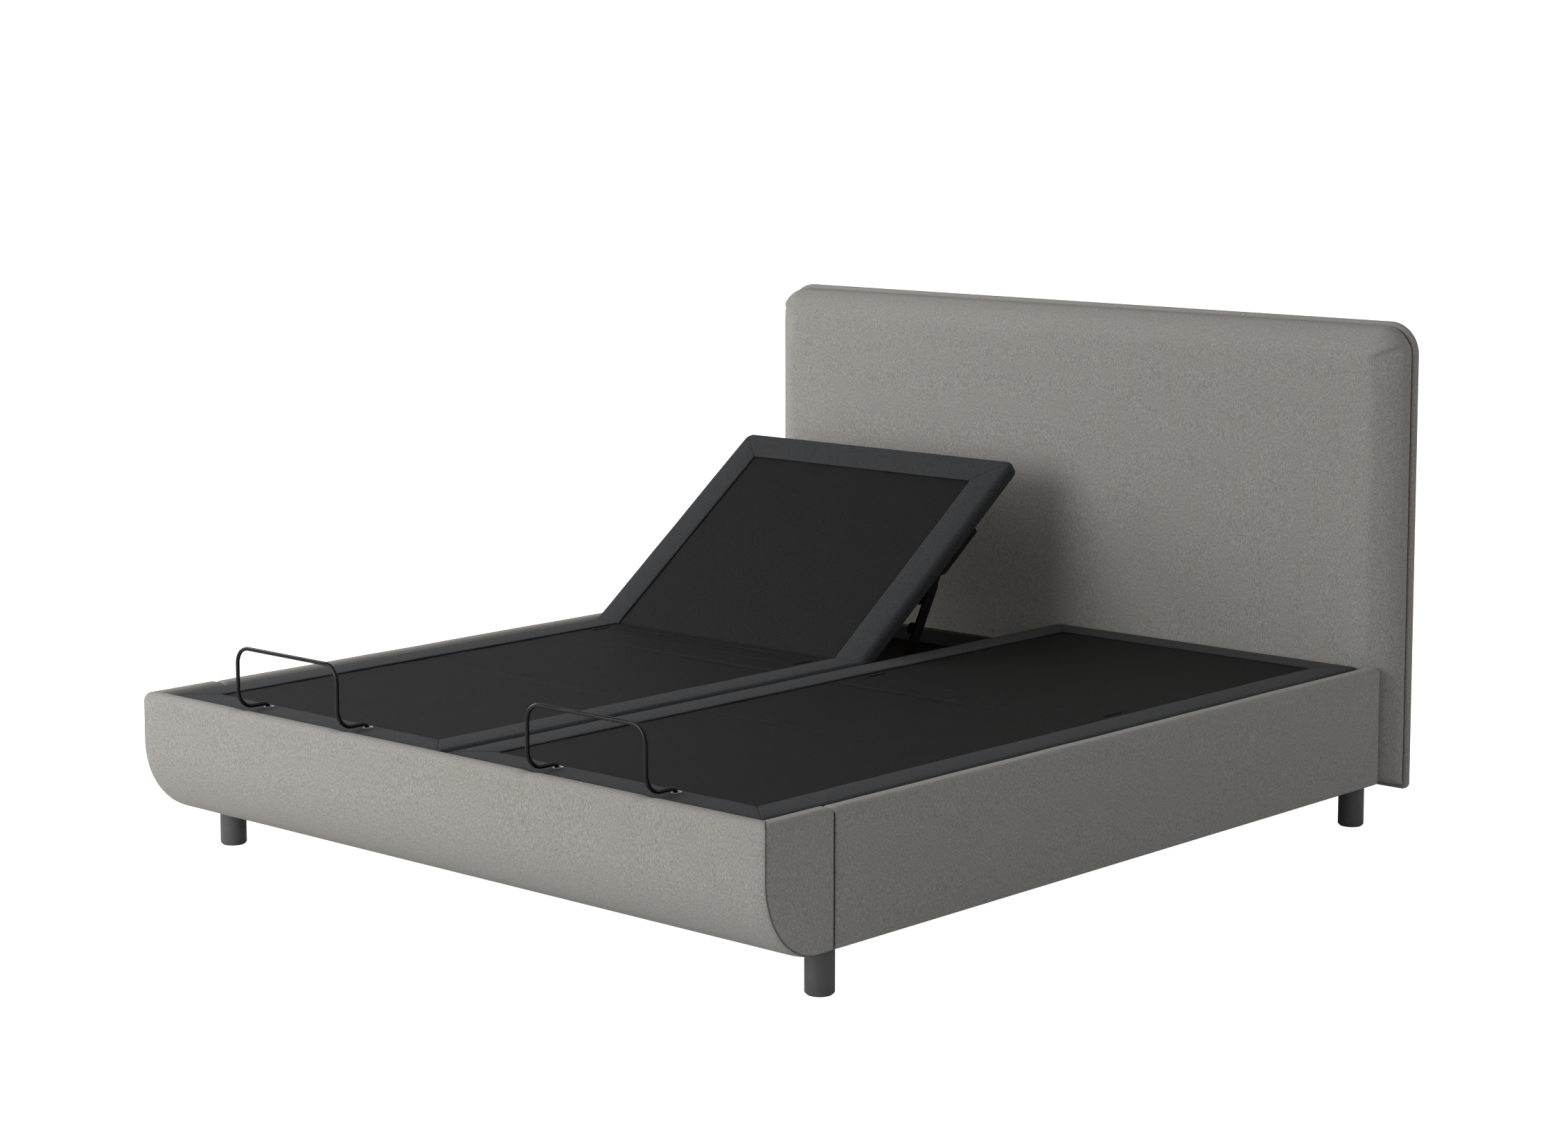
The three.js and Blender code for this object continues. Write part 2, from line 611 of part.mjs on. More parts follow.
// The lever on a shaft that the drive pushes, hanging down into the drive's slot
function driveLever(side, y, degrees) {
  const [root, tip] = [LEVER_ROOT, LEVER_TIP].map(length => rotated([length, 0], degrees))
  return flatBar(span(side, ...LEVER_X), [y + root[0], LIFT_Z + root[1]], [y + tip[0], LIFT_Z + tip[1]],
    LEVER_WIDTH)
}

// One flat lift arm through its stations, narrower near its tip, where the round glide rides under the deck
function liftArm([x0, x1], y, stations) {
  const points = [[0, 0], ...stations].map(([dy, dz]) => [y + dy, LIFT_Z + dz])
  const [tipY, tipZ] = points.pop()
  const [lastY, lastZ] = points[points.length - 1]
  const neck = [lastY + (tipY - lastY) * ARM_NECK, lastZ + (tipZ - lastZ) * ARM_NECK]
  const wide = [...points, neck]
  const bars = points.map((point, index) => flatBar([x0, x1], point, wide[index + 1], ARM_WIDTH))
  bars.push(flatBar([x0, x1], neck, [tipY, tipZ], ARM_NECK_WIDTH))
  return joined(...bars, rod(GLIDE_RADIUS, [x0 - GLIDE_OVERHANG, x1 + GLIDE_OVERHANG], tipY, tipZ))
}

// A welded lift frame: shaft, lever, two arms and any further bars
function liftFrame(side, y, leverAngle, stations, ...extras) {
  const shaft = rod(SHAFT_RADIUS, span(side, SHAFT_INNER, SHAFT_OUTER), y, LIFT_Z)
  const frame = joined(shaft, driveLever(side, y, leverAngle),
    liftArm(span(side, ...ARM_NEAR), y, stations), liftArm(span(side, ...ARM_FAR), y, stations), ...extras)
  return cut(frame, ...shaftBores(side, y))
}

function backLift(name, side) {
  const [elbow, tip, tie, knuckle] = [BACK_ELBOW, [BACK_ARM, 0], BACK_TIE, BACK_KNUCKLE]
    .map(point => rotated(point, BACK_ARM_FLAT))
  const tieBar = rod(TIE_RADIUS, span(side, ARM_NEAR[0] + OVERLAP, ARM_FAR[1] - OVERLAP),
    BACK_SHAFT + tie[0], LIFT_Z + tie[1])
  const boss = rod(KNUCKLE_RADIUS, span(side, ARM_NEAR[1] - OVERLAP, ARM_NEAR[1] + KNUCKLE_LENGTH),
    BACK_SHAFT + knuckle[0], LIFT_Z + knuckle[1])
  const frame = liftFrame(side, BACK_SHAFT, BACK_LEVER_ANGLE, [elbow, tip], tieBar, boss)
  const raised = side < 0 ? LEFT_BACK_ANGLE * BACK_ARM_RATIO : 0
  add(turned(BACK_SHAFT, LIFT_Z, raised), `back_lift_frame_${name}`, frame, blackSteel)
}

function legLift(name, side) {
  const tip = rotated([-LEG_ARM, 0], -LEG_ARM_FLAT)
  add(bed, `leg_lift_frame_${name}`, liftFrame(side, LEG_SHAFT, LEG_LEVER_ANGLE, [tip]), blackSteel)
}

// Steel channel under the back section: a strap hung on the hinge rod, with side walls for the glide
function backChannel([x0, x1]) {
  const strapTop = DECK_UNDER - SEAM_GAP
  const strapBottom = strapTop - STRAP_THICKNESS
  const wallTop = strapBottom + OVERLAP - DECK_UNDER
  const eye = cut(rod(CHANNEL_EYE_RADIUS, [x0, x1], BACK_HINGE, DECK_UNDER),
    rod(HINGE_ROD + SHAFT_PLAY, [x0 - OVERLAP, x1 + OVERLAP], BACK_HINGE, DECK_UNDER))
  const strap = box([x0, x1], [BACK_HINGE + STRAP_START, BACK_HINGE + CHANNEL_END], [strapBottom, strapTop])
  const profile = [[CHANNEL_START, wallTop], ...CHANNEL_PROFILE, [CHANNEL_END, wallTop]]
  const wall = outline(profile.map(([y, z]) => [BACK_HINGE + y, DECK_UNDER + z]))
  return joined(eye, strap, across(wall, [x0, x0 + CHANNEL_WALL]), across(wall, [x1 - CHANNEL_WALL, x1]))
}

function backSection(name, side) {
  const section = turned(BACK_HINGE, DECK_UNDER, side < 0 ? LEFT_BACK_ANGLE : 0)
  const foot = BACK_HINGE + BOARD_GAP
  const wood = common(board(side, [foot, DECK_HEAD]), headCorners(side, BOARD_INSET))
  const past = DECK_HEAD + OVERLAP
  const cover = common(pad(side, [foot, BACK_HINGE + BACK_PAD_GAP], [past, past]),
    headCorners(side, 0))
  add(section, `back_board_${name}`, wood, plywood)
  add(section, `back_pad_${name}`, cover, borderFabric)
  add(section, `back_channel_inner_${name}`,
    backChannel(span(side, ARM_NEAR[0] - CHANNEL_REACH, ARM_NEAR[1] + CHANNEL_REACH)), blackSteel)
  add(section, `back_channel_outer_${name}`,
    backChannel(span(side, ARM_FAR[0] - CHANNEL_REACH, ARM_FAR[1] + CHANNEL_REACH)), blackSteel)
}

// ---------- the whole bed ----------

surround()
supports()
for (const [name, side] of SIDES) {
  fixedFrame(name, side)
  seatSection(name, side)
  thighSection(name, side)
  calfSection(name, side)
  backSection(name, side)
  backLift(name, side)
  legLift(name, side)
}
bed.position.y = -(FOOT_FRONT + PANEL_BACK) / 2

const adjustableBed = new THREE.Group()
adjustableBed.add(bed)
export default adjustableBed
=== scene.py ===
import json
import math

import bpy
import numpy as np
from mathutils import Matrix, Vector, noise


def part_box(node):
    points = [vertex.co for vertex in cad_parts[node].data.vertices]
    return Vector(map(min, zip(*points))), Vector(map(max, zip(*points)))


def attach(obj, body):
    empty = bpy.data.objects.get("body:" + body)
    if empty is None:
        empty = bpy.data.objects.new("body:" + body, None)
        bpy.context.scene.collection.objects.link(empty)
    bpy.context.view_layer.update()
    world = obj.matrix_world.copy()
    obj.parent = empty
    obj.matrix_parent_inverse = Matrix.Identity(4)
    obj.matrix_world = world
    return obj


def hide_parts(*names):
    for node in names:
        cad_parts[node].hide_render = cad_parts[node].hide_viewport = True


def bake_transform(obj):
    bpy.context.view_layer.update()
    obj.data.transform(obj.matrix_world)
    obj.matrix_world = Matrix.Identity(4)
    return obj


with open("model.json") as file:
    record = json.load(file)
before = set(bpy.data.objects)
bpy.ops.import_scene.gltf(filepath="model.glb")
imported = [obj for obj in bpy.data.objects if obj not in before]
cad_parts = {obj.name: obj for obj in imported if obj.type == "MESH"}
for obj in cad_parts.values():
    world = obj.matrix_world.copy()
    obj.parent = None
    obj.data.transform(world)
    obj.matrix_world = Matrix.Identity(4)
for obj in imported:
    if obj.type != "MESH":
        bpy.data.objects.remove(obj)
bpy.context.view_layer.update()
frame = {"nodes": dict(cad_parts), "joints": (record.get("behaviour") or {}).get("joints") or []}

MM = 0.001
TURN = 2.0 * math.pi
QUARTER = math.pi / 2
SIDES = (("left", -1), ("right", 1))
JOINTS = {joint["name"]: joint for joint in frame["joints"]}
HINGE_Z = JOINTS["back_tilt_right"]["pos_m"][2]
BACK_Y = JOINTS["back_tilt_right"]["pos_m"][1]
HIP_Y = JOINTS["thigh_tilt_right"]["pos_m"][1]
KNEE_Y = JOINTS["calf_tilt_right"]["pos_m"][1]
LEFT_RAISED = math.radians(-JOINTS["back_tilt_left"]["range_deg"][0])


def show(name, data):
    """A new object in the scene."""
    thing = bpy.data.objects.new(name, data)
    bpy.context.scene.collection.objects.link(thing)
    return thing


# ---------- camera and light ----------

CAMERA_AT = (5.0194, -5.5336, 1.8173)
CAMERA_YAW = 42.27
CAMERA_PITCH = -6.70
CAMERA_LENS = 75.62
CAMERA_SHIFT = -0.0884
CAMERA_FAR = 200.0
SENSOR = 36.0


def make_camera():
    data = bpy.data.cameras.new("camera")
    data.sensor_width = SENSOR
    data.lens = CAMERA_LENS
    data.shift_y = CAMERA_SHIFT
    data.clip_end = CAMERA_FAR
    camera = show("camera", data)
    camera.location = CAMERA_AT
    camera.rotation_euler = (math.radians(90.0 + CAMERA_PITCH), 0.0, math.radians(CAMERA_YAW))
    bpy.context.scene.camera = camera


def area_light(name, place, target, size, watts):
    data = bpy.data.lights.new(name, "AREA")
    data.shape = "DISK"
    data.size = size
    data.energy = watts
    lamp = show(name, data)
    lamp.location = place
    direction = Vector(target) - Vector(place)
    lamp.rotation_euler = direction.to_track_quat("-Z", "Y").to_euler()


SKY_SIDE = 0.35
SKY_TOP = 0.42
FLOOR_GLOW = 0.35
HORIZON = (0.47, 0.53)


def make_world():
    """Soft studio surroundings: light returned by the pale floor below, and dim walls and ceiling above."""
    world = bpy.data.worlds.new("studio")
    world.use_nodes = True
    tree = world.node_tree
    background = tree.nodes["Background"]
    where = tree.nodes.new("ShaderNodeTexCoord")
    split = tree.nodes.new("ShaderNodeSeparateXYZ")
    height = tree.nodes.new("ShaderNodeMapRange")
    height.inputs["From Min"].default_value = -1.0
    height.inputs["From Max"].default_value = 1.0
    ramp = tree.nodes.new("ShaderNodeValToRGB")
    tree.links.new(where.outputs["Generated"], split.inputs[0])
    tree.links.new(split.outputs["Z"], height.inputs["Value"])
    tree.links.new(height.outputs["Result"], ramp.inputs["Fac"])
    levels = ((0.0, FLOOR_GLOW), (HORIZON[0], FLOOR_GLOW), (HORIZON[1], SKY_SIDE), (1.0, SKY_TOP))
    while len(ramp.color_ramp.elements) < len(levels):
        ramp.color_ramp.elements.new(0.5)
    for element, (place, level) in zip(ramp.color_ramp.elements, levels):
        element.position = place
        element.color = (level, level, level, 1.0)
    tree.links.new(ramp.outputs["Color"], background.inputs["Color"])
    background.inputs["Strength"].default_value = 1.0
    bpy.context.scene.world = world


# ---------- materials ----------

EVEN = (1.0, 1.0, 1.0)


class Shader:
    """One Principled material and short ways to add its nodes."""

    def __init__(self, name, roughness, specular=0.5, sheen=0.0):
        self.material = bpy.data.materials.new(name)
        self.material.use_nodes = True
        self.tree = self.material.node_tree
        self.shader = self.tree.nodes["Principled BSDF"]
        sockets = self.shader.inputs
        sockets["Roughness"].default_value = roughness
        sockets["Specular IOR Level"].default_value = specular
        sockets["Sheen Weight"].default_value = sheen
        sockets["Sheen Roughness"].default_value = 0.45
        self.where = self.tree.nodes.new("ShaderNodeTexCoord")

    def link(self, source, target):
        """A socket is linked, and a number or colour is set."""
        if isinstance(source, (int, float, tuple)):
            target.default_value = source
        else:
            self.tree.links.new(source, target)

    def stretched(self, vector, scale, rotation=(0.0, 0.0, 0.0)):
        node = self.tree.nodes.new("ShaderNodeMapping")
        node.inputs["Scale"].default_value = scale
        node.inputs["Rotation"].default_value = rotation
        self.link(vector, node.inputs["Vector"])
        return node.outputs["Vector"]

    def mapped(self, scale=EVEN, kind="Object", rotation=(0.0, 0.0, 0.0)):
        return self.stretched(self.where.outputs[kind], scale, rotation)

    def noise(self, vector, scale, detail=2.0, roughness=0.5):
        node = self.tree.nodes.new("ShaderNodeTexNoise")
        self.link(vector, node.inputs["Vector"])
        node.inputs["Scale"].default_value = scale
        node.inputs["Detail"].default_value = detail
        node.inputs["Roughness"].default_value = roughness
        return node.outputs["Fac"]

    def split(self, vector):
        node = self.tree.nodes.new("ShaderNodeSeparateXYZ")
        self.link(vector, node.inputs[0])
        return node.outputs["X"], node.outputs["Y"], node.outputs["Z"]

    def math(self, operation, *values):
        node = self.tree.nodes.new("ShaderNodeMath")
        node.operation = operation
        for value, socket in zip(values, node.inputs):
            self.link(value, socket)
        return node.outputs[0]

    def fit(self, value, low, high, to_low=0.0, to_high=1.0):
        node = self.tree.nodes.new("ShaderNodeMapRange")
        node.interpolation_type = "SMOOTHSTEP"
        self.link(value, node.inputs["Value"])
        node.inputs["From Min"].default_value = low
        node.inputs["From Max"].default_value = high
        node.inputs["To Min"].default_value = to_low
        node.inputs["To Max"].default_value = to_high
        return node.outputs["Result"]

    def mix(self, share, first, second):
        node = self.tree.nodes.new("ShaderNodeMix")
        node.data_type = "RGBA"
        self.link(share, node.inputs["Factor"])
        for value, socket in ((first, node.inputs["A"]), (second, node.inputs["B"])):
            self.link(value + (1.0,) if isinstance(value, tuple) else value, socket)
        return node.outputs["Result"]

    def wave(self, value, period=TURN):
        """A sine of a length, from -1 to 1."""
        return self.math("SINE", self.math("MULTIPLY", value, TURN / period))

    def finish(self, colour, height, distance, strength=1.0, roughness=None):
        """The colour and the bump height, in metres at full strength, reach the shader."""
        node = self.tree.nodes.new("ShaderNodeBump")
        node.inputs["Distance"].default_value = distance
        node.inputs["Strength"].default_value = strength
        self.link(height, node.inputs["Height"])
        self.link(colour, self.shader.inputs["Base Color"])
        self.link(node.outputs["Normal"], self.shader.inputs["Normal"])
        if roughness is not None:
            self.link(roughness, self.shader.inputs["Roughness"])
        return self.material


YARN_DARK = (0.222, 0.216, 0.200)
YARN_LIGHT = (0.428, 0.418, 0.391)
YARN_SHADE = (0.205, 0.198, 0.184)
FLECK_RUST = (0.420, 0.300, 0.225)
FLECK_BLUE = (0.250, 0.292, 0.305)
FABRIC_WEAVE = 2.1 * MM


def melange_fabric():
    """Warm grey upholstery weave: upright slub yarns, faint rust and blue flecks, soft patches."""
    s = Shader("melange_fabric", roughness=0.92, specular=0.12, sheen=0.06)
    upright = s.mapped((1.0, 1.0, 0.30))
    plain = s.mapped()
    slub = s.noise(upright, scale=620.0, roughness=0.6)
    fine = s.noise(plain, scale=1100.0, detail=1.0)
    patch = s.noise(s.mapped((1.0, 1.0, 0.6)), scale=24.0, detail=3.0, roughness=0.6)
    rust = s.noise(s.mapped((2.2, 2.2, 0.55)), scale=105.0, detail=3.0, roughness=0.75)
    blue = s.noise(s.mapped((2.4, 2.4, 0.60)), scale=120.0, detail=3.0, roughness=0.75)
    yarn = s.mix(s.fit(slub, 0.26, 0.74), YARN_DARK, YARN_LIGHT)
    yarn = s.mix(s.fit(fine, 0.30, 0.72, to_high=0.36), yarn, YARN_SHADE)
    rust_share = s.math("MULTIPLY", s.fit(rust, 0.50, 0.72), s.fit(patch, 0.44, 0.62, 0.08, 0.42))
    yarn = s.mix(rust_share, yarn, FLECK_RUST)
    yarn = s.mix(s.fit(blue, 0.54, 0.74, to_high=0.22), yarn, FLECK_BLUE)
    x, y, z = s.split(plain)
    across = s.wave(s.math("ADD", x, y), FABRIC_WEAVE)
    weave = s.math("MULTIPLY", across, s.wave(z, FABRIC_WEAVE))
    height = s.math("MULTIPLY_ADD", slub, 1.2, s.math("MULTIPLY", weave, 0.4))
    return s.finish(yarn, height, distance=0.22 * MM, strength=0.7)


BORDER_DARK = (0.017, 0.018, 0.0205)
BORDER_LIGHT = (0.054, 0.056, 0.060)
BORDER_SHADE = (0.030, 0.031, 0.034)
BORDER_WEAVE = 1.5 * MM


def border_fabric():
    """Charcoal deck cover border: a fine dense weave with light and dark specks."""
    s = Shader("deck_border_fabric", roughness=0.80, specular=0.22, sheen=0.04)
    plain = s.mapped()
    speck = s.noise(plain, scale=520.0, roughness=0.65)
    soft = s.noise(plain, scale=60.0)
    colour = s.mix(s.fit(speck, 0.30, 0.70), BORDER_DARK, BORDER_LIGHT)
    colour = s.mix(s.fit(soft, 0.35, 0.70, to_high=0.25), colour, BORDER_SHADE)
    u, v, _ = s.split(s.mapped(kind="UV"))
    weave = s.math("MULTIPLY", s.wave(u, BORDER_WEAVE), s.wave(v, BORDER_WEAVE))
    height = s.math("MULTIPLY_ADD", speck, 1.2, s.math("MULTIPLY", weave, 0.35))
    return s.finish(colour, height, distance=0.3 * MM, strength=0.8)


RIB_ACROSS = 0.0897 / MM
RIB_ALONG = 0.2107 / MM
# painted light of the mesh: a painted highlight on rib crests, painted shade in the grooves and openings
MESH_GROOVE_SHADE = (0.0010, 0.0010, 0.0010)
MESH_CREST_HIGHLIGHT = (0.0085, 0.0085, 0.0084)
MESH_OPENING_SHADE = (0.0008, 0.0008, 0.0008)
MESH_GRAIN = (0.0130, 0.0130, 0.0130)


def mesh_fabric():
    """Black deck mesh: slanting ribs with small openings between them. Painted light: the rib crests are
    lighter and the grooves darker, and the openings are darker as painted shade.
    """
    s = Shader("deck_mesh_fabric", roughness=0.62, specular=0.17)
    u, v, _ = s.split(s.mapped(kind="UV"))
    phase = s.math("ADD", s.math("MULTIPLY", u, RIB_ACROSS), s.math("MULTIPLY", v, RIB_ALONG))
    rib = s.wave(phase, period=1.0)
    cross = s.math("SUBTRACT", s.math("MULTIPLY", u, RIB_ALONG), s.math("MULTIPLY", v, RIB_ACROSS))
    pore = s.wave(cross, period=0.5)
    grain = s.noise(s.mapped(kind="UV"), scale=620.0, roughness=0.6)
    hole = s.math("MULTIPLY", s.fit(rib, -1.0, 0.1, 1.0, 0.0), s.fit(pore, -0.6, 0.6))
    # painted light: rib crests lighter and grooves darker, following the same wave as the bump
    colour = s.mix(s.fit(rib, -0.9, 0.9), MESH_GROOVE_SHADE, MESH_CREST_HIGHLIGHT)
    # painted shade: the openings between the ribs are darker
    colour = s.mix(s.math("MULTIPLY", hole, 0.55), colour, MESH_OPENING_SHADE)
    colour = s.mix(s.fit(grain, 0.40, 0.75, to_high=0.30), colour, MESH_GRAIN)
    height = s.math("SUBTRACT", s.math("MULTIPLY", rib, 0.6), hole)
    return s.finish(colour, height, distance=0.42 * MM, strength=0.8)


# colours of the dark felt that is placed as painted shade
PAINTED_SHADE_DARK = (0.006, 0.005, 0.0042)
PAINTED_SHADE_PALE = (0.026, 0.021, 0.017)


def dark_felt_for_shade():
    """Dark brown-black felt, placed as painted shade in gaps, in the headboard's groove and on the head
    rail's shadowed face.
    """
    s = Shader("lining_felt", roughness=0.95, specular=0.05)
    tuft = s.noise(s.mapped(), scale=900.0, detail=3.0, roughness=0.7)
    return s.finish(s.mix(tuft, PAINTED_SHADE_DARK, PAINTED_SHADE_PALE), tuft, distance=0.4 * MM, strength=0.8)


def shaded(colour, factor, lift=0.0):
    return tuple(min(1.0, factor * c + lift) for c in colour)


def thread(name, colour):
    s = Shader(name, roughness=0.6, specular=0.4, sheen=0.2)
    twist = s.noise(s.mapped(), scale=2200.0, detail=1.0)
    return s.finish(s.mix(twist, shaded(colour, 0.4), colour), twist, distance=0.1 * MM)


def powder_coat(name, colour, roughness, specular=0.5):
    """Baked paint with a fine orange peel, and a painted highlight that lightens its sharp convex edges."""
    s = Shader(name, roughness, specular)
    plain = s.mapped()
    peel = s.noise(plain, scale=1300.0)
    cloud = s.noise(plain, scale=28.0, detail=3.0, roughness=0.6)
    geometry = s.tree.nodes.new("ShaderNodeNewGeometry")
    # painted highlight: sharp convex edges, found by pointiness, are made lighter
    edge = s.fit(geometry.outputs["Pointiness"], 0.53, 0.60, to_high=0.35)
    base = s.mix(s.fit(cloud, 0.3, 0.7, to_high=0.5), colour, shaded(colour, 1.25))
    base = s.mix(edge, base, shaded(colour, 1.6, 0.008))
    rough = s.fit(cloud, 0.25, 0.75, roughness - 0.05, roughness + 0.08)
    return s.finish(base, peel, distance=0.05 * MM, strength=0.6, roughness=rough)


WOOD_DARK = (0.400, 0.255, 0.130)
WOOD_LIGHT = (0.560, 0.390, 0.225)
WOOD_PLY = (0.290, 0.175, 0.085)
PLY_PERIOD = 2.9 * MM


def plywood(name, tilt):
    """Birch plywood, its plies lying level in the board, and the grain along the bed."""
    s = Shader(name, roughness=0.62, specular=0.35)
    turned = s.mapped(rotation=(tilt, 0.0, 0.0))
    ply = s.fit(s.wave(s.split(turned)[2], PLY_PERIOD), -0.35, 0.35)
    along = s.stretched(turned, (1.0, 0.06, 1.0))
    grain = s.noise(along, scale=190.0, detail=4.0, roughness=0.65)
    fibre = s.noise(along, scale=900.0)
    pale = s.mix(s.fit(grain, 0.3, 0.7), WOOD_DARK, WOOD_LIGHT)
    colour = s.mix(s.math("MULTIPLY", ply, 0.45), pale, WOOD_PLY)
    return s.finish(colour, fibre, distance=0.15 * MM, strength=0.5)


def moulded_plastic(name, colour, roughness):
    s = Shader(name, roughness, specular=0.45)
    plain = s.mapped()
    grain = s.noise(plain, scale=1600.0)
    cloud = s.noise(plain, scale=30.0)
    base = s.mix(s.fit(cloud, 0.3, 0.7), shaded(colour, 0.9), colour)
    return s.finish(base, grain, distance=0.08 * MM, strength=0.6)


# ---------- mesh helpers ----------


def mesh_data(name, points, faces):
    data = bpy.data.meshes.new(name)
    data.from_pydata([tuple(map(float, p)) for p in points], [], [tuple(f) for f in faces])
    return data


def piece(name, shape, material, nodes=(), body="bed_frame", uvs=None):
    """A shown piece of the bed, riding on a body. shape is its points and faces. uvs are metres, one pair for
    each corner of each face."""
    data = mesh_data(name, *shape)
    if uvs is not None:
        layer = data.uv_layers.new(name="metres")
        layer.data.foreach_set("uv", np.asarray(uvs, np.float32).ravel())
    data.polygons.foreach_set("use_smooth", [True] * len(data.polygons))
    data.materials.append(material)
    data.update()
    thing = show(name, data)
    if body is not None:
        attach(thing, body)
    if nodes:
        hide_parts(*nodes)
    return thing


def smooth_step(value, low, high):
    t = np.clip((np.asarray(value, float) - low) / (high - low), 0.0, 1.0)
    return t * t * (3.0 - 2.0 * t)


def rounded_edge(distance, reach, power=2.0):
    """A quarter ellipse, or a squarer one: 0 at the seam, rising steeply to 1 at reach."""
    t = np.clip(np.asarray(distance, float) / reach, 0.0, 1.0)
    return np.maximum(0.0, 1.0 - (1.0 - t) ** power) ** (1.0 / power)


def wobble(points, scale, amount, seed):
    """Smooth noise at each point, for cloth that is never quite even."""
    shift = Vector((seed * 1.7, seed * 3.1, seed * 0.9))
    return np.array([amount * noise.noise(Vector(p) * scale + shift) for p in points])


def tube_faces(rows, columns, cap_ends=True):
    """Faces of closed loops of points, one loop for each row, with both ends capped."""
    faces = []
    for i in range(rows - 1):
        for j in range(columns):
            k = (j + 1) % columns
            a, b = i * columns, (i + 1) * columns
            faces.append((a + j, a + k, b + k, b + j))
    if cap_ends:
        faces.append(tuple(reversed(range(columns))))
        faces.append(tuple(range((rows - 1) * columns, rows * columns)))
    return faces


def flipped(faces):
    return [tuple(reversed(face)) for face in faces]


def loft(rings):
    """A closed shape through rings that have the same number of points."""
    return np.concatenate(rings), tube_faces(len(rings), len(rings[0]))


def spaced(start, end, step):
    count = max(1, int(math.ceil(abs(end - start) / step)))
    return list(np.linspace(start, end, count + 1))


def spaced_line(start, end, step):
    count = max(2, int(math.ceil(math.dist(start, end) / step)) + 1)
    return [tuple(p) for p in np.linspace(start, end, count)]


def easing(count, start=0.0):
    """Pairs of shares round a quarter turn: the first grows from 0 to 1, the second falls from 1 to 0."""
    return [(1.0 - math.cos(t), 1.0 - math.sin(t)) for t in np.linspace(start, QUARTER, count)]


def arc(centre, radius, start, end, count):
    """Points of an arc in a plane, from one angle in degrees to another."""
    angles = np.radians(np.linspace(start, end, count))
    return [(centre[0] + radius * math.cos(t), centre[1] + radius * math.sin(t)) for t in angles]


def rounded_rectangle(low, high, radius, inset):
    """A closed loop a little inside a rectangle with rounded corners, given by two opposite corners."""
    ring = []
    middle = ((low[0] + high[0]) / 2, (low[1] + high[1]) / 2)
    for quarter, (x, y) in enumerate((high, (low[0], high[1]), low, (high[0], low[1]))):
        centre = (x - math.copysign(radius, x - middle[0]), y - math.copysign(radius, y - middle[1]))
        ring += arc(centre, radius - inset, 90 * quarter, 90 * quarter + 90, 4)
    return ring


def unit_rows(vectors):
    return vectors / np.linalg.norm(vectors, axis=1)[:, None]


def resampled(points, step):
    """The same line with even spacing."""
    points = np.asarray(points, float)
    lengths = np.concatenate([[0.0], np.cumsum(np.linalg.norm(np.diff(points, axis=0), axis=1))])
    count = max(2, int(round(lengths[-1] / step)) + 1)
    at = np.linspace(0.0, lengths[-1], count)
    return np.stack([np.interp(at, lengths, points[:, k]) for k in range(points.shape[1])], axis=1)


END_EASE = 0.15
END_NARROW = 0.8


def swept_tube(path, radius, sides):
    """A round bar along a line, with no twist, and its two softened ends."""
    path = np.asarray(path, float)
    tangents = unit_rows(np.gradient(path, axis=0))
    side = np.cross(tangents[0], (0.0, 1.0, 0.0))
    if np.linalg.norm(side) < 0.1:
        side = np.cross(tangents[0], (1.0, 0.0, 0.0))
    side /= np.linalg.norm(side)
    rings = []
    angles = np.linspace(0.0, TURN, sides, endpoint=False)
    for point, tangent in zip(path, tangents):
        side = side - tangent * (side @ tangent)
        side /= np.linalg.norm(side)
        other = np.cross(tangent, side)
        rings.append(point + radius * (np.outer(np.cos(angles), side) + np.outer(np.sin(angles), other)))
    ease = END_EASE * radius
    start = path[0] - tangents[0] * ease + (rings[0] - path[0]) * END_NARROW
    end = path[-1] + tangents[-1] * ease + (rings[-1] - path[-1]) * END_NARROW
    return loft([start] + rings + [end])


CREASE_ANGLE = 35.0
WELD_DISTANCE = 0.01 * MM


def dress(name, material, bevel=0.7 * MM):
    """A CAD node that keeps its shape gets its finish and softened edges."""
    thing = frame["nodes"][name]
    thing.data.materials.clear()
    thing.data.materials.append(material)
    thing.data.polygons.foreach_set("use_smooth", [True] * len(thing.data.polygons))
    weld = thing.modifiers.new("weld", "WELD")
    weld.merge_threshold = WELD_DISTANCE
    edge = thing.modifiers.new("edge", "BEVEL")
    edge.width = bevel
    edge.segments = 2
    edge.limit_method = "ANGLE"
    edge.angle_limit = math.radians(CREASE_ANGLE)
    even = thing.modifiers.new("even", "WEIGHTED_NORMAL")
    even.keep_sharp = False
    even.weight = 90


# ---------- upholstered surround ----------

CLOTH_FRAMES = 12
CLOTH_MASS = 0.02
CLOTH_STIFFNESS = 12.0
CLOTH_BENDING = 0.4
CLOTH_SPARE = 0.05


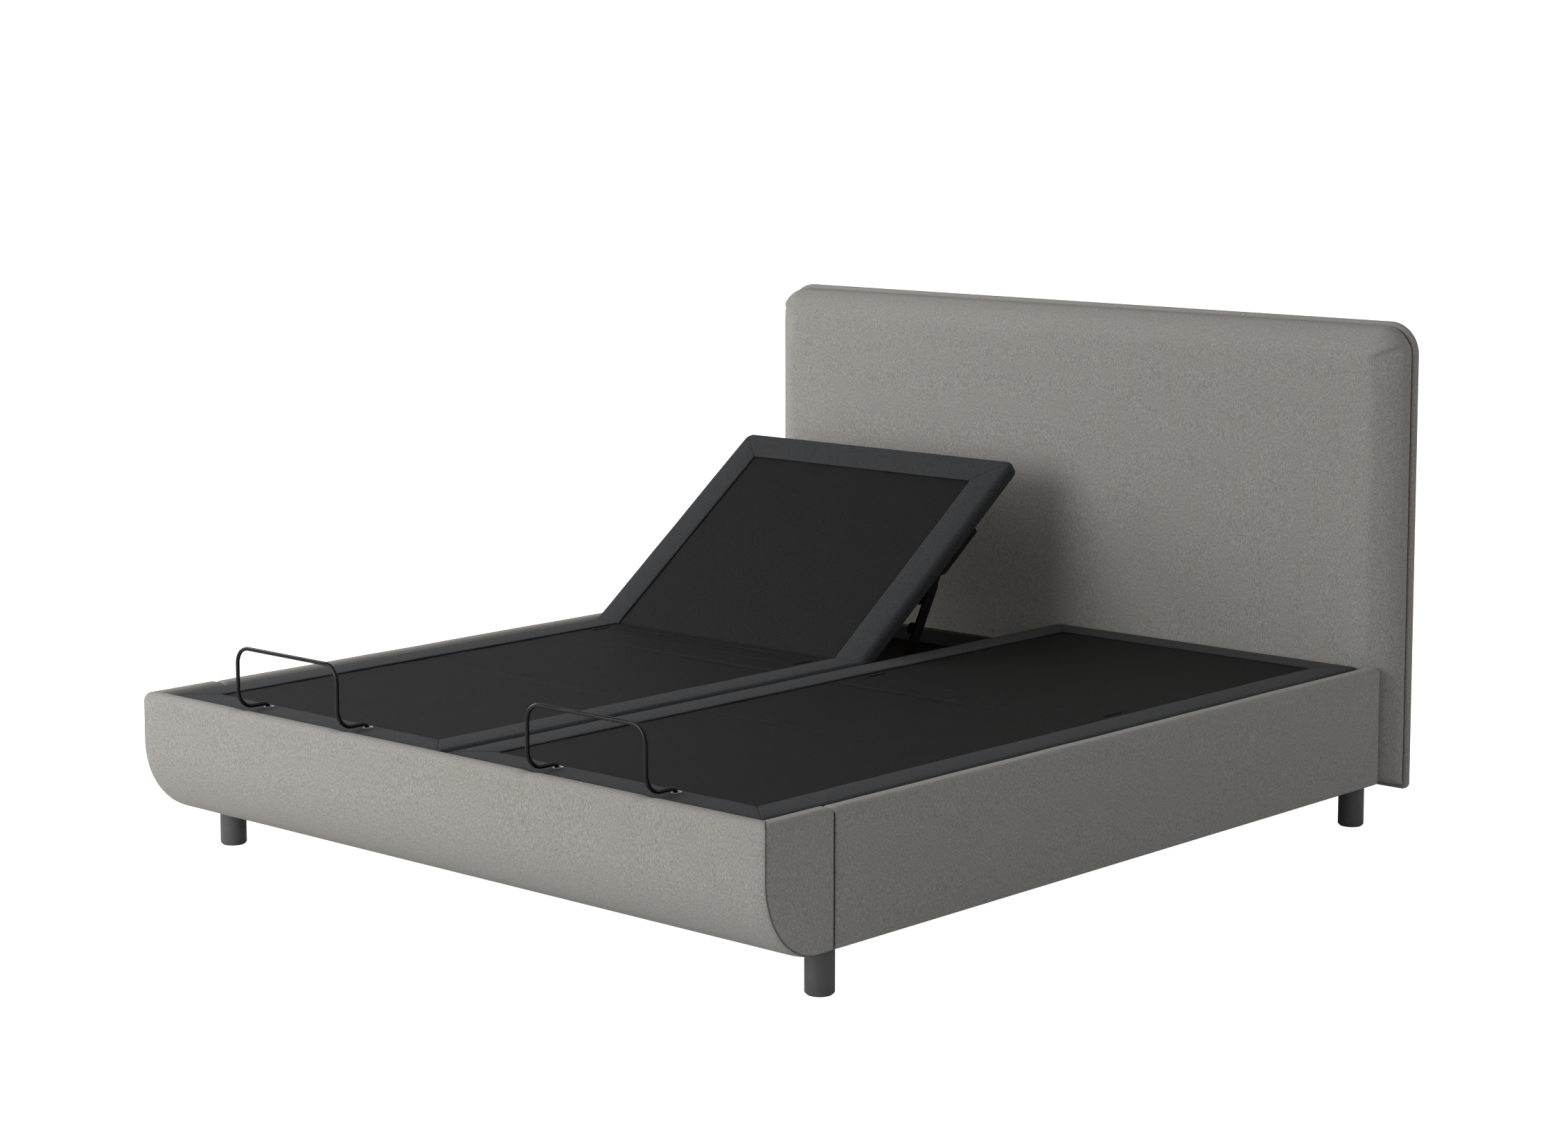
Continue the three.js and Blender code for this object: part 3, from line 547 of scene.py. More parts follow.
def settle(shape, pinned, spare, pressure, cap):
    """Sewn cloth pressed outwards by its filling. pinned holds the seams, spare is each point's share of
    loose cloth, and no point moves further than cap."""
    points, faces = shape
    data = mesh_data("settling", points, faces)
    thing = show("settling", data)
    scene = bpy.context.scene
    for name, weights in (("pin", pinned), ("spare", spare)):
        group = thing.vertex_groups.new(name=name)
        for index, weight in enumerate(weights):
            if weight > 0.0:
                group.add([index], float(weight), "REPLACE")
    cloth = thing.modifiers.new("cloth", "CLOTH")
    settings = cloth.settings
    settings.quality = 3
    settings.mass = CLOTH_MASS
    settings.tension_stiffness = CLOTH_STIFFNESS
    settings.compression_stiffness = CLOTH_STIFFNESS
    settings.shear_stiffness = CLOTH_STIFFNESS / 2
    settings.bending_stiffness = CLOTH_BENDING
    settings.use_pressure = True
    settings.uniform_pressure_force = pressure
    settings.vertex_group_mass = "pin"
    settings.vertex_group_shrink = "spare"
    settings.shrink_min = 0.0
    settings.shrink_max = -CLOTH_SPARE
    settings.effector_weights.gravity = 0.0
    cloth.collision_settings.use_collision = False
    cloth.point_cache.frame_start = 1
    cloth.point_cache.frame_end = CLOTH_FRAMES
    for step in range(1, CLOTH_FRAMES + 1):
        scene.frame_set(step)
    moved = np.zeros(len(points) * 3)
    shown = thing.evaluated_get(bpy.context.evaluated_depsgraph_get())
    shown.data.vertices.foreach_get("co", moved)
    shift = moved.reshape(-1, 3) - points
    bpy.data.objects.remove(thing)
    bpy.data.meshes.remove(data)
    scene.frame_set(1)
    length = np.linalg.norm(shift, axis=1)[:, None]
    return points + shift * (cap * np.tanh(length / cap) / np.maximum(length, 1e-9))


FOOT_SEAM_IN = 1.5 * MM
FOOT_SEAM_FROM_END = 1.0 * MM
FOOT_CURVE_LOW = 170 * MM
FOOT_CURVE_BACK = 150 * MM
FOOT_CREST_DROP = 3.5 * MM
FOOT_TOP_ROUND = 18 * MM
FOOT_ROLL = 34 * MM
FOOT_ROLL_SQUARE = 2.4
FOOT_MITRE = 37 * MM
FOOT_WALL = 36 * MM
FOOT_SWELL = 1.0 * MM
FOOT_SWELL_FACE = 3.4 * MM
FOOT_SWELL_LOW = 2.6 * MM
FOOT_SWELL_UNDER = 2.0 * MM
FOOT_PRESSURE = 40.0
FOOT_MOVE = 2.5 * MM
RETAINER_X = (0.2925, 0.6255)


def side_of(name, side):
    """A node's lowest and highest corner, and how far its inner and outer faces are from the bed's middle."""
    low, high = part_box(name)
    return (low, high, low.x, high.x) if side > 0 else (low, high, -high.x, -low.x)


def foot_profile():
    """The footboard's seam line in y and z with its outward direction: up its inner wall, over the round
    top, down the front, round the lower curve and back under."""
    low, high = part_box("footboard_front")
    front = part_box("footboard_end_right")[0].y + FOOT_SEAM_IN
    shoulder = high.z - FOOT_CREST_DROP - FOOT_TOP_ROUND
    inner = front + 2 * FOOT_TOP_ROUND
    line = [(inner, shoulder - 12 * MM), (inner, shoulder - 5 * MM)]
    line += arc((front + FOOT_TOP_ROUND, shoulder), FOOT_TOP_ROUND, 0, 180, 19)
    line += spaced_line((front, shoulder - 4 * MM), (front, low.z + FOOT_CURVE_LOW + 2 * MM), 8 * MM)
    line += [(front + FOOT_CURVE_BACK * a, low.z + FOOT_CURVE_LOW * b) for a, b in easing(26)]
    line += spaced_line((front + FOOT_CURVE_BACK + 8 * MM, low.z), (high.y, low.z), 8 * MM)
    line = np.array(line)
    run = unit_rows(np.gradient(line, axis=0))
    return line, np.stack([run[:, 1], -run[:, 0]], axis=1) * (1.0 if run[:2, 1].mean() > 0 else -1.0)


def rolled_stations(half, reach, count, step):
    """Places from one end to the other of a width, close together where the cloth rolls over."""
    near = [half - reach * share for share, _ in easing(count)]
    middle = spaced(near[-1], -near[-1], step)[1:-1]
    return np.array([-x for x in near] + list(reversed(middle)) + list(reversed(near)))


def foot_inner_wall(low, high, inner_y):
    """The footboard's hidden inner side in y and z, from its underside up to its rounded top."""
    wall = [(inner_y, low.z + FOOT_CURVE_LOW)]
    reach_y, reach_z = FOOT_CURVE_BACK - FOOT_WALL, FOOT_CURVE_LOW - FOOT_WALL
    wall += [(inner_y + reach_y * a, low.z + FOOT_WALL + reach_z * b) for a, b in easing(6, QUARTER / 6)]
    wall.append((high.y, low.z + FOOT_WALL))
    return wall[::-1]


def footboard_front_piece(material):
    low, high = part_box("footboard_front")
    line, outward = foot_profile()
    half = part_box("footboard_end_right")[1].x - FOOT_SEAM_FROM_END
    stations = rolled_stations(half, FOOT_ROLL, 12, 9 * MM)
    front = line[:, 0].min()
    drop = np.clip((line[:, 1] - low.z) / FOOT_CURVE_LOW, 0.0, 1.0)
    face = smooth_step(-outward[:, 0], 0.0, 0.7)
    under = smooth_step(-outward[:, 1], 0.0, 0.6) * (1.0 - face)
    swell = FOOT_SWELL + face * (FOOT_SWELL_FACE + FOOT_SWELL_LOW * (1.0 - drop)) + FOOT_SWELL_UNDER * under
    swell *= 1.0 - smooth_step(outward[:, 0], 0.3, 0.9)
    inner = foot_inner_wall(low, high, line[0, 0])
    on_top = (outward[:, 1] > 0.05) | (outward[:, 0] > 0.3)
    mitre = np.clip(line[:, 0] - front, 0.0, FOOT_MITRE) * on_top
    rings = []
    for x in stations:
        here = line + outward * (swell * rounded_edge(half - abs(x), FOOT_ROLL, FOOT_ROLL_SQUARE))[:, None]
        ring = [(math.copysign(min(abs(x), stop), x), y, z) for (y, z), stop in zip(here, half - mitre)]
        ring += [(math.copysign(min(abs(x), half - FOOT_MITRE), x), y, z) for y, z in inner]
        rings.append(ring)
    points, faces = loft(rings)
    pinned = np.ones((len(stations), len(rings[0])))
    pinned[1:-1, :len(line)] = 1.0 - smooth_step(-outward[:, 0], 0.1, 0.5)
    points = settle((points, faces), pinned.ravel(), np.zeros(len(points)), FOOT_PRESSURE, FOOT_MOVE)
    foot_wrinkles(points, front, points[:, 2].max())
    piece("footboard_cover", (points, faces), material, ["footboard_front"])


DENT_DEPTH = 2.6 * MM
DENT_WIDTH = 15 * MM
DENT_HEIGHT = 14 * MM
DENT_LEAN = 0.5
WRINKLE_FROM_POST = 10 * MM
WRINKLE_BELOW_TOP = 7 * MM
WRINKLE_SLOPE = 0.22
WRINKLE_HOLLOW = 1.5 * MM
WRINKLE_RIDGE = 1.2 * MM


def foot_wrinkles(points, front, top):
    """Each retainer post presses a shallow dent into the top edge, and a short crease runs from it."""
    points[:, 1] -= wobble(points, scale=9.0, amount=0.9 * MM, seed=1.0) * (points[:, 1] < front + 60 * MM)
    for x in [side * post for _, side in SIDES for post in RETAINER_X]:
        away = np.hypot((points[:, 0] - x) / DENT_WIDTH, (points[:, 2] - top) / DENT_HEIGHT)
        dent = np.exp(-away ** 2) * DENT_DEPTH
        points[:, 2] -= dent * (points[:, 2] > top - 20 * MM)
        points[:, 1] += DENT_LEAN * dent
        along = (x - WRINKLE_FROM_POST) - points[:, 0]
        fall = top - WRINKLE_BELOW_TOP - WRINKLE_SLOPE * along - points[:, 2]
        share = smooth_step(along, -2 * MM, 8 * MM) * (1.0 - smooth_step(along, 12 * MM, 44 * MM))
        points[:, 1] += WRINKLE_HOLLOW * share * np.exp(-(fall / (3.0 * MM)) ** 2)
        points[:, 1] -= WRINKLE_RIDGE * share * np.exp(-((fall + 7 * MM) / (5.0 * MM)) ** 2)


FOOT_END_CROWN = 4 * MM
FOOT_END_IN = 1.0 * MM
FOOT_END_BACK = 1.6 * MM
FOOT_END_LIFT = 1.5 * MM
FOOT_END_STEP = 9 * MM
FOOT_END_TOP_ROUND = 12 * MM
FOOT_END_BACK_ROUND = 10 * MM
FOOT_END_FRONT_ROUND = 15 * MM
FOOT_END_EDGE = 3.5 * MM
FOOT_END_TOP_EDGE = 8.5 * MM
FOOT_END_REAR_EDGE = 3.0 * MM
FOOT_END_CROWN_REACH = 60 * MM


def footboard_end_piece(name, side, material):
    """The D-shaped side of the footboard: a padded slab with a soft top and a crisp seam in front."""
    low, high, inner, outer = side_of(f"footboard_end_{name}", side)
    front = low.y + FOOT_SEAM_IN + FOOT_END_IN
    top, back, bottom = high.z - FOOT_CREST_DROP, high.y - FOOT_END_BACK, low.z + FOOT_END_LIFT
    curve_z = low.z + FOOT_CURVE_LOW
    reach_y, reach_z = FOOT_CURVE_BACK - FOOT_END_IN, FOOT_CURVE_LOW - FOOT_END_LIFT
    top_round, back_round, front_round = FOOT_END_TOP_ROUND, FOOT_END_BACK_ROUND, FOOT_END_FRONT_ROUND
    line = spaced_line((back - top_round, top), (front + front_round, top), FOOT_END_STEP)
    line += arc((front + front_round, top - front_round), front_round, 90, 180, 5)[1:]
    line += spaced_line((front, top - front_round), (front, curve_z), FOOT_END_STEP)[1:]
    line += [(front + reach_y * a, bottom + reach_z * b) for a, b in easing(26)[1:]]
    line += spaced_line((front + reach_y, bottom), (back - back_round, bottom), FOOT_END_STEP)[1:]
    line += arc((back - back_round, bottom + back_round), back_round, -90, 0, 6)[1:]
    line += spaced_line((back, bottom + back_round), (back, top - top_round), FOOT_END_STEP)[1:]
    line += arc((back - top_round, top - top_round), top_round, 0, 90, 7)[1:-1]
    line = np.array(line)
    run = unit_rows(np.roll(line, -1, axis=0) - np.roll(line, 1, axis=0))
    inward = np.stack([-run[:, 1], run[:, 0]], axis=1)
    up = smooth_step(-inward[:, 1], 0.2, 0.9)
    rear = smooth_step(-inward[:, 0], 0.2, 0.9)
    inner_radius = FOOT_END_TOP_ROUND * up
    radius = FOOT_END_EDGE + FOOT_END_TOP_EDGE * up + FOOT_END_REAR_EDGE * rear
    rings = []
    for a, b in easing(6)[::-1]:
        rings.append(np.column_stack([inner + inner_radius * b, line + inward * (inner_radius * a)[:, None]]))
    for a, b in easing(7):
        rings.append(np.column_stack([outer - radius * b, line + inward * (radius * a)[:, None]]))
    edge = rings[-1]
    centre = np.array([outer, (front + back) / 2 + 10 * MM, (top + bottom) / 2 + 10 * MM])
    for share in (0.94, 0.85, 0.72, 0.56, 0.38, 0.2, 0.06):
        ring = centre + (edge - centre) * share
        turn_in = np.hypot(np.clip((front + reach_y - ring[:, 1]) / reach_y, 0.0, 1.0),
                           np.clip((curve_z - ring[:, 2]) / reach_z, 0.0, 1.0))
        rise = np.ones(len(ring))
        for distance in (reach_y * (1.0 - turn_in), top - ring[:, 2], back - ring[:, 1]):
            rise *= np.sin(QUARTER * np.clip(distance / FOOT_END_CROWN_REACH, 0.0, 1.0))
        ring[:, 0] = outer + FOOT_END_CROWN * rise
        rings.append(ring)
    points, faces = loft(rings)
    points[:, 0] += wobble(points, scale=14.0, amount=0.5 * MM, seed=4.0) * (points[:, 0] > outer - 1 * MM)
    points[:, 0] *= side
    piece(f"footboard_side_{name}", (points, faces), material, [f"footboard_end_{name}"])


WELT_RADIUS = 0.9 * MM
WELT_FROM_END = 0.6 * MM
WELT_LIFT = 0.1 * MM


def seam_welt_piece(name, side, material):
    """The dark sewn seam between the footboard's front and its side, from the top to under the curve."""
    line, outward = foot_profile()
    shown = outward[:, 0] < 0.5
    line, outward = line[shown], outward[shown]
    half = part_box("footboard_end_right")[1].x - WELT_FROM_END
    x = half - (line[:, 0] - line[:, 0].min()) * (outward[:, 1] > 0.05)
    path = resampled(np.column_stack([x, line + outward * WELT_LIFT]), 3 * MM)
    points, faces = swept_tube(path, WELT_RADIUS, 8)
    points[:, 0] *= side
    faces = flipped(faces) if side < 0 else faces
    piece(f"footboard_seam_{name}", (points, faces), material)


GAP_SHADE_EDGE = 0.8 * MM
GAP_SHADE_ROUND = 4 * MM


def corner_gap_shade_piece(name, side, material):
    """Dark felt in the gap between the footboard's side and the side rail: painted shade, standing in for the
    contact shadow in the gap.
    """
    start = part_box(f"footboard_end_{name}")[1].y - 2.4 * MM
    low, high, inner, outer = side_of(f"side_rail_{name}", side)
    corners = ((inner + 4 * MM, low.z + 5 * MM), (outer - 4 * MM, high.z - 9 * MM))
    rings = []
    for y, inset in ((start, GAP_SHADE_EDGE), (start + 0.4 * MM, 0.0), (low.y + 1.0 * MM, 0.0),
                     (low.y + 1.4 * MM, GAP_SHADE_EDGE)):
        rings.append([(side * x, y, z) for x, z in rounded_rectangle(*corners, GAP_SHADE_ROUND, inset)])
    points, faces = loft(rings)
    faces = flipped(faces) if side > 0 else faces
    piece(f"corner_lining_{name}", (points, faces), material)


RAIL_TOP_ROUND = 13 * MM
RAIL_LOW_ROUND = 6 * MM
RAIL_END_ROUND = 6 * MM
RAIL_SWELL = 3.2 * MM
RAIL_SWELL_REACH = 45 * MM
RAIL_END_SHARE = 1.6


def side_rail_piece(name, side, material):
    """A padded rail with a softly rounded top, slightly full between its ends."""
    low, high, inner, outer = side_of(f"side_rail_{name}", side)
    top_round, low_round, end_round = RAIL_TOP_ROUND, RAIL_LOW_ROUND, RAIL_END_ROUND
    loop = arc((outer - top_round, high.z - top_round), top_round, 0, 90, 9)
    loop += arc((inner + top_round, high.z - top_round), top_round, 90, 180, 7)
    loop += spaced_line((inner, high.z - 2 * top_round), (inner, low.z + low_round), 30 * MM)
    loop += arc((inner + low_round, low.z + low_round), low_round, 180, 270, 4)[1:]
    loop += arc((outer - low_round, low.z + low_round), low_round, 270, 360, 5)
    loop += spaced_line((outer, low.z + 2 * low_round), (outer, high.z - 2 * top_round), 12 * MM)
    loop = np.array(loop)
    centre = loop.mean(axis=0)
    level = (loop[:, 1] - low.z) / (high.z - low.z)
    face = smooth_step(loop[:, 0], inner + 20 * MM, outer - 2 * MM)
    swell = RAIL_SWELL * face * np.sqrt(np.clip(4.0 * level * (1.0 - level), 0.0, 1.0))
    near = [(low.y + end_round * a, end_round * b) for a, b in easing(7)]
    middle = [(y, 0.0) for y in spaced(low.y + end_round, high.y - end_round, 16 * MM)[1:-1]]
    far = [(low.y + high.y - y, inset) for y, inset in reversed(near)]
    rings = []
    for y, inset in near + middle + far:
        here = loop.copy()
        here[:, 0] += swell * rounded_edge(min(y - low.y, high.y - y), RAIL_SWELL_REACH)
        here -= np.clip(unit_rows(here - centre) * RAIL_END_SHARE, -1.0, 1.0) * inset
        rings.append(np.column_stack([here[:, 0], np.full(len(here), y), here[:, 1]]))
    points, faces = loft(rings)
    outward = points[:, 0] > outer - 1 * MM
    points[:, 0] += wobble(points, scale=7.0, amount=1.0 * MM, seed=6.0 + side) * outward
    on_top = points[:, 2] > high.z - 4 * MM
    points[:, 2] += wobble(points, scale=6.0, amount=0.7 * MM, seed=9.0 + side) * on_top
    points[:, 0] *= side
    piece(f"side_rail_cover_{name}", (points, faces), material, [f"side_rail_{name}"])


CUSHION_ROLL = 84 * MM
CUSHION_ROLL_DEPTH = 63 * MM
CUSHION_SQUARE = 2.5
CUSHION_CROWN_REACH = 420 * MM
CUSHION_GROOVE = 5.8 * MM
CUSHION_FOOT_ROLL = 22 * MM
CUSHION_CORNER = 67 * MM
CUSHION_STEP = 11 * MM
CUSHION_PRESSURE = 60.0
CUSHION_MOVE = 4.0 * MM
PANEL_CORNER = 75 * MM
CORNER_DETAIL = 116 * MM


def cushion_distance(x, z, half, top):
    """How far a point of the cushion's face lies from its seam."""
    across, up = np.abs(x) - (half - CUSHION_CORNER), z - (top - CUSHION_CORNER)
    outside = np.hypot(np.maximum(across, 0.0), np.maximum(up, 0.0))
    return CUSHION_CORNER - outside - np.minimum(np.maximum(across, up), 0.0)


def cushion_grid(half, bottom, top):
    """x and z of a grid over the cushion's face whose rows narrow inside the rounded top corners."""
    rows = [bottom + CUSHION_FOOT_ROLL * share for share, _ in easing(7)]
    rows += spaced(rows[-1], top - CORNER_DETAIL, CUSHION_STEP)[1:]
    rows += spaced(rows[-1], top - CUSHION_CORNER, 3 * MM)[1:]
    turn = easing(26)[1:]
    widths = [half] * len(rows) + [half - CUSHION_CORNER * a for a, _ in turn]
    rows += [top - CUSHION_CORNER * b for _, b in turn]
    columns = rolled_stations(half, CORNER_DETAIL, 36, CUSHION_STEP)
    return np.outer(np.array(widths) / half, columns), np.outer(rows, np.ones(len(columns)))


CREASE_DEPTH = 6.0 * MM
CREASE_FROM_SIDE = 3 * MM
CREASE_FROM_TOP = 40 * MM
CREASE_DIRECTION = (-0.92, -0.39)


def corner_creases(x, z, half, top):
    """A short fold runs inwards from the seam at each top corner, where the top's roll meets the side's."""
    height = np.zeros_like(x)
    inward, down = CREASE_DIRECTION
    for _, side in SIDES:
        right = x - side * (half - CREASE_FROM_SIDE)
        up = z - (top - CREASE_FROM_TOP)
        along = right * side * inward + up * down
        off = right * side * down - up * inward
        share = smooth_step(along, -4 * MM, 10 * MM) * (1.0 - smooth_step(along, 24 * MM, 84 * MM))
        step = np.tanh(off / (2.6 * MM)) * np.exp(-np.abs(off) / (16 * MM))
        height += CREASE_DEPTH * share * step
    return height


def headboard_cushion_piece(material):
    """The cushion's rounded face on a grid, closed behind by rings that step into the groove."""
    low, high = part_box("headboard_cushion")
    half, seam_y = high.x, high.y - CUSHION_GROOVE
    x, z = cushion_grid(half, low.z, high.z)
    distance = np.maximum(0.0, cushion_distance(x, z, half, high.z))
    crown = seam_y - low.y - CUSHION_ROLL_DEPTH
    full = CUSHION_ROLL_DEPTH * rounded_edge(distance, CUSHION_ROLL, CUSHION_SQUARE)
    full += crown * (1.0 - (1.0 - np.clip(distance / CUSHION_CROWN_REACH, 0.0, 1.0)) ** 2)
    full *= rounded_edge(z - low.z, CUSHION_FOOT_ROLL)
    full += corner_creases(x, z, half, high.z)
    flat = np.stack([x, seam_y - full, z], axis=-1).reshape(-1, 3)
    wave = wobble(flat, scale=5.0, amount=1.6 * MM, seed=12.0)
    flat[:, 1] -= wave * rounded_edge(distance.ravel(), 120 * MM)
    rows, columns = x.shape
    faces = [(r * columns + c, r * columns + c + 1, (r + 1) * columns + c + 1, (r + 1) * columns + c)
             for r in range(rows - 1) for c in range(columns - 1)]
    border = list(range(columns)) + [r * columns + columns - 1 for r in range(1, rows)]
    border += [(rows - 1) * columns + c for c in range(columns - 2, -1, -1)]
    border += [r * columns for r in range(rows - 2, 0, -1)]
    loop = flat[border]
    middle_z, half_z = (low.z + high.z) / 2, (high.z - low.z) / 2
    layers, start = [flat], border
    for inset, y in ((0.6 * MM, seam_y + 0.7 * MM), (4 * MM, seam_y + 1.1 * MM),
                     (14 * MM, seam_y + 1.3 * MM), (16 * MM, high.y)):
        ring = loop.copy()
        ring[:, 0] -= np.clip(loop[:, 0] / half, -1, 1) * inset
        ring[:, 2] -= np.clip((loop[:, 2] - middle_z) / half_z, -1, 1) * inset
        ring[:, 1] = y
        base = sum(map(len, layers))
        this = list(range(base, base + len(ring)))
        for k in range(len(border)):
            n = (k + 1) % len(border)
            faces.append((start[n], start[k], this[k], this[n]))
        layers.append(ring)
        start = this
    faces.append(tuple(start))
    points = np.concatenate(layers)
    pinned = np.ones(len(points))
    pinned[:len(flat)] = 1.0 - smooth_step(distance.ravel(), 0.0, 12 * MM)
    corner = np.hypot(half - np.abs(points[:, 0]), high.z - points[:, 2])
    spare = 1.0 - smooth_step(corner, 90 * MM, 260 * MM)
    points = settle((points, faces), pinned, spare, CUSHION_PRESSURE, CUSHION_MOVE)
    piece("headboard_cushion_cover", (points, faces), material, ["headboard_cushion"])


RING_COUNTS = (60, 36, 14)
SMALLEST_ROUND = 0.6 * MM


def panel_ring(half, low_z, high_z, low_round, high_round, inset, y):
    """One closed upright loop of a rounded rectangle, always with the same number of points."""
    across, upright, turn = RING_COUNTS
    a, b = max(low_round - inset, SMALLEST_ROUND), max(high_round - inset, SMALLEST_ROUND)
    x, z0, z1 = half - inset, low_z + inset, high_z - inset
    line = [(a - x, z0)]
    corners = (((x - a, z0 + a), a, across), ((x - b, z1 - b), b, upright),
               ((b - x, z1 - b), b, across), ((a - x, z0 + a), a, upright))
    for quarter, (centre, radius, count) in enumerate(corners):
        corner = arc(centre, radius, 90 * quarter - 90, 90 * quarter, turn)
        line += [tuple(p) for p in np.linspace(line[-1], corner[0], count)[1:]] + corner[1:]
    return np.array([(x, y, z) for x, z in line[:-1]])


def groove_shade_strip_piece(material):
    """A dark felt strip at the bottom of the groove between the cushion and the panel: painted shade,
    standing in for the groove's deep shadow.
    """
    low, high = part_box("headboard_cushion")
    front, rear = high.y - CUSHION_GROOVE + 1.0 * MM, high.y + 0.2 * MM
    rings = [panel_ring(high.x, low.z, high.z, 8 * MM, CUSHION_CORNER, inset, y)
             for inset, y in ((13 * MM, front), (2.8 * MM, front), (2.2 * MM, front + 0.6 * MM),
                              (2.2 * MM, rear), (13 * MM, rear))]
    count = len(rings[0])
    faces = tube_faces(len(rings), count, cap_ends=False)
    last = (len(rings) - 1) * count
    faces += [(last + j, last + (j + 1) % count, (j + 1) % count, j) for j in range(count)]
    piece("groove_lining", (np.concatenate(rings), faces), material)


PANEL_EDGE = 8 * MM
PANEL_LOW_ROUND = 15 * MM


def headboard_panel_piece(material):
    low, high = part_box("headboard_panel")
    front = [(320 * MM, 0.0), (60 * MM, 0.0), (PANEL_EDGE, 0.0)]
    front += [(PANEL_EDGE * b, PANEL_EDGE * a) for a, b in easing(7)[1:]]
    depth = high.y - low.y
    rear = [(inset, depth - back) for inset, back in reversed(front[2:])]
    rear += [(inset * MM, depth) for inset in (24, 60, 120, 220, 360, 500)]
    rings = [panel_ring(high.x, low.z, high.z, PANEL_LOW_ROUND, PANEL_CORNER, inset, low.y + back)
             for inset, back in front + rear]
    piece("headboard_panel_cover", loft(rings), material, ["headboard_panel"])


CROSS_RAIL_EDGE = 5 * MM


def cross_rail_piece(material, shadow_felt):
    """The rail at the head, in the surround's fabric, with dark felt on the side towards the decks as painted
    shade for that shadowed face.
    """
    low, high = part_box("head_cross_rail")
    edge = CROSS_RAIL_EDGE
    loop = arc((high.y - edge, high.z - edge), edge, 0, 90, 5)
    loop += arc((low.y + edge, high.z - edge), edge, 90, 180, 5)
    loop += spaced_line((low.y, high.z - 20 * MM), (low.y, low.z + 20 * MM), 30 * MM)
    loop += arc((low.y + edge, low.z + edge), edge, 180, 270, 5)
    loop += arc((high.y - edge, low.z + edge), edge, 270, 360, 5)
    points, faces = loft([[(x, y, z) for y, z in loop] for x in spaced(low.x, high.x, 40 * MM)])
    points[:, 2] += wobble(points, scale=5.0, amount=0.8 * MM, seed=21.0)
    made = piece("head_cross_rail_cover", (points, faces), material, ["head_cross_rail"])
    # painted shade: the faces towards the decks get the dark felt
    made.data.materials.append(shadow_felt)
    for face in made.data.polygons:
        face.material_index = int(face.center.y < low.y + 1 * MM)


# ---------- deck covers ----------

BORDER_WIDTH = 86 * MM
BORDER_FOOT = 78 * MM
BORDER_HEM = 3.0 * MM
BORDER_ROLL = 15 * MM
BORDER_CROWN = 1.4 * MM
BORDER_PASS = 1.0 * MM
BORDER_FALL = BORDER_FOOT / BORDER_WIDTH
DECK_HEAD_CORNER = 24 * MM
DECK_FOOT_CORNER = 8 * MM
DECK_FOOT_WRAP = 7 * MM
DECK_WRAP_END = 8 * MM
CORNER_ZONE = 118 * MM
DECK_STEP = 26 * MM
HINGE_STEP = 2.5 * MM
FOLD_HALF = {"knee": 26 * MM, "hip": 20 * MM, "back": 26 * MM}
HINGE_ZONES = ((KNEE_Y, 34 * MM), (HIP_Y, 30 * MM), (BACK_Y, 34 * MM))
THIRDS = ("calf", "thigh", "back")


class Deck:
    """One base's deck surface. Flat places (x, y, z) become places in the rest pose."""

    def __init__(self, name, side):
        self.name, self.side = name, side
        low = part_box("calf_pad_right")[0]
        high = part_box("back_pad_right")[1]
        self.x0, self.x1 = low.x, high.x
        self.y0, self.y1 = low.y - DECK_FOOT_WRAP, high.y
        self.top = high.z
        self.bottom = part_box("calf_board_right")[0].z + DECK_WRAP_END
        self.raised = LEFT_RAISED if side < 0 else 0.0
        self.cuts = ((KNEE_Y + HIP_Y) / 2, (HIP_Y + BACK_Y) / 2)

    def placed(self, flat):
        """The flat points, mirrored to this side and with the back section raised as it rests."""
        points = np.array(flat, float)
        y = points[:, 1] - BACK_Y
        z = points[:, 2] - HINGE_Z
        turn = self.raised * smooth_step(y, -FOLD_HALF["back"], FOLD_HALF["back"])
        points[:, 1] = BACK_Y + y * np.cos(turn) - z * np.sin(turn)
        points[:, 2] = HINGE_Z + y * np.sin(turn) + z * np.cos(turn)
        points[:, 0] *= self.side
        return points

    def stations(self):
        """Places along the bed between the corner zones, closer together at the hinges."""
        marks = [self.y0 + CORNER_ZONE]
        for centre, half in HINGE_ZONES:
            marks += spaced(marks[-1], centre - half, DECK_STEP)[1:]
            marks += spaced(centre - half, centre + half, HINGE_STEP)[1:]
        marks += spaced(marks[-1], self.y1 - CORNER_ZONE, DECK_STEP)[1:]
        for cut in self.cuts:
            nearest = min(range(len(marks)), key=lambda k: abs(marks[k] - cut))
            marks[nearest] = cut
        return marks

    def third(self, y):
        """Which third of the deck a place along the bed is in."""
        return int(y > self.cuts[0]) + int(y > self.cuts[1])

    def join(self, thing, index):
        """Each third of a cover has its placement baked into its points."""
        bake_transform(thing)


CORNER_SHARES = (0.0, 0.012, 0.03, 0.055, 0.09, 0.14, 0.22, 0.34, 0.5, 0.72, 1.0)
ARC_POINTS = 9
SMALLEST_TURN = 0.5 * MM


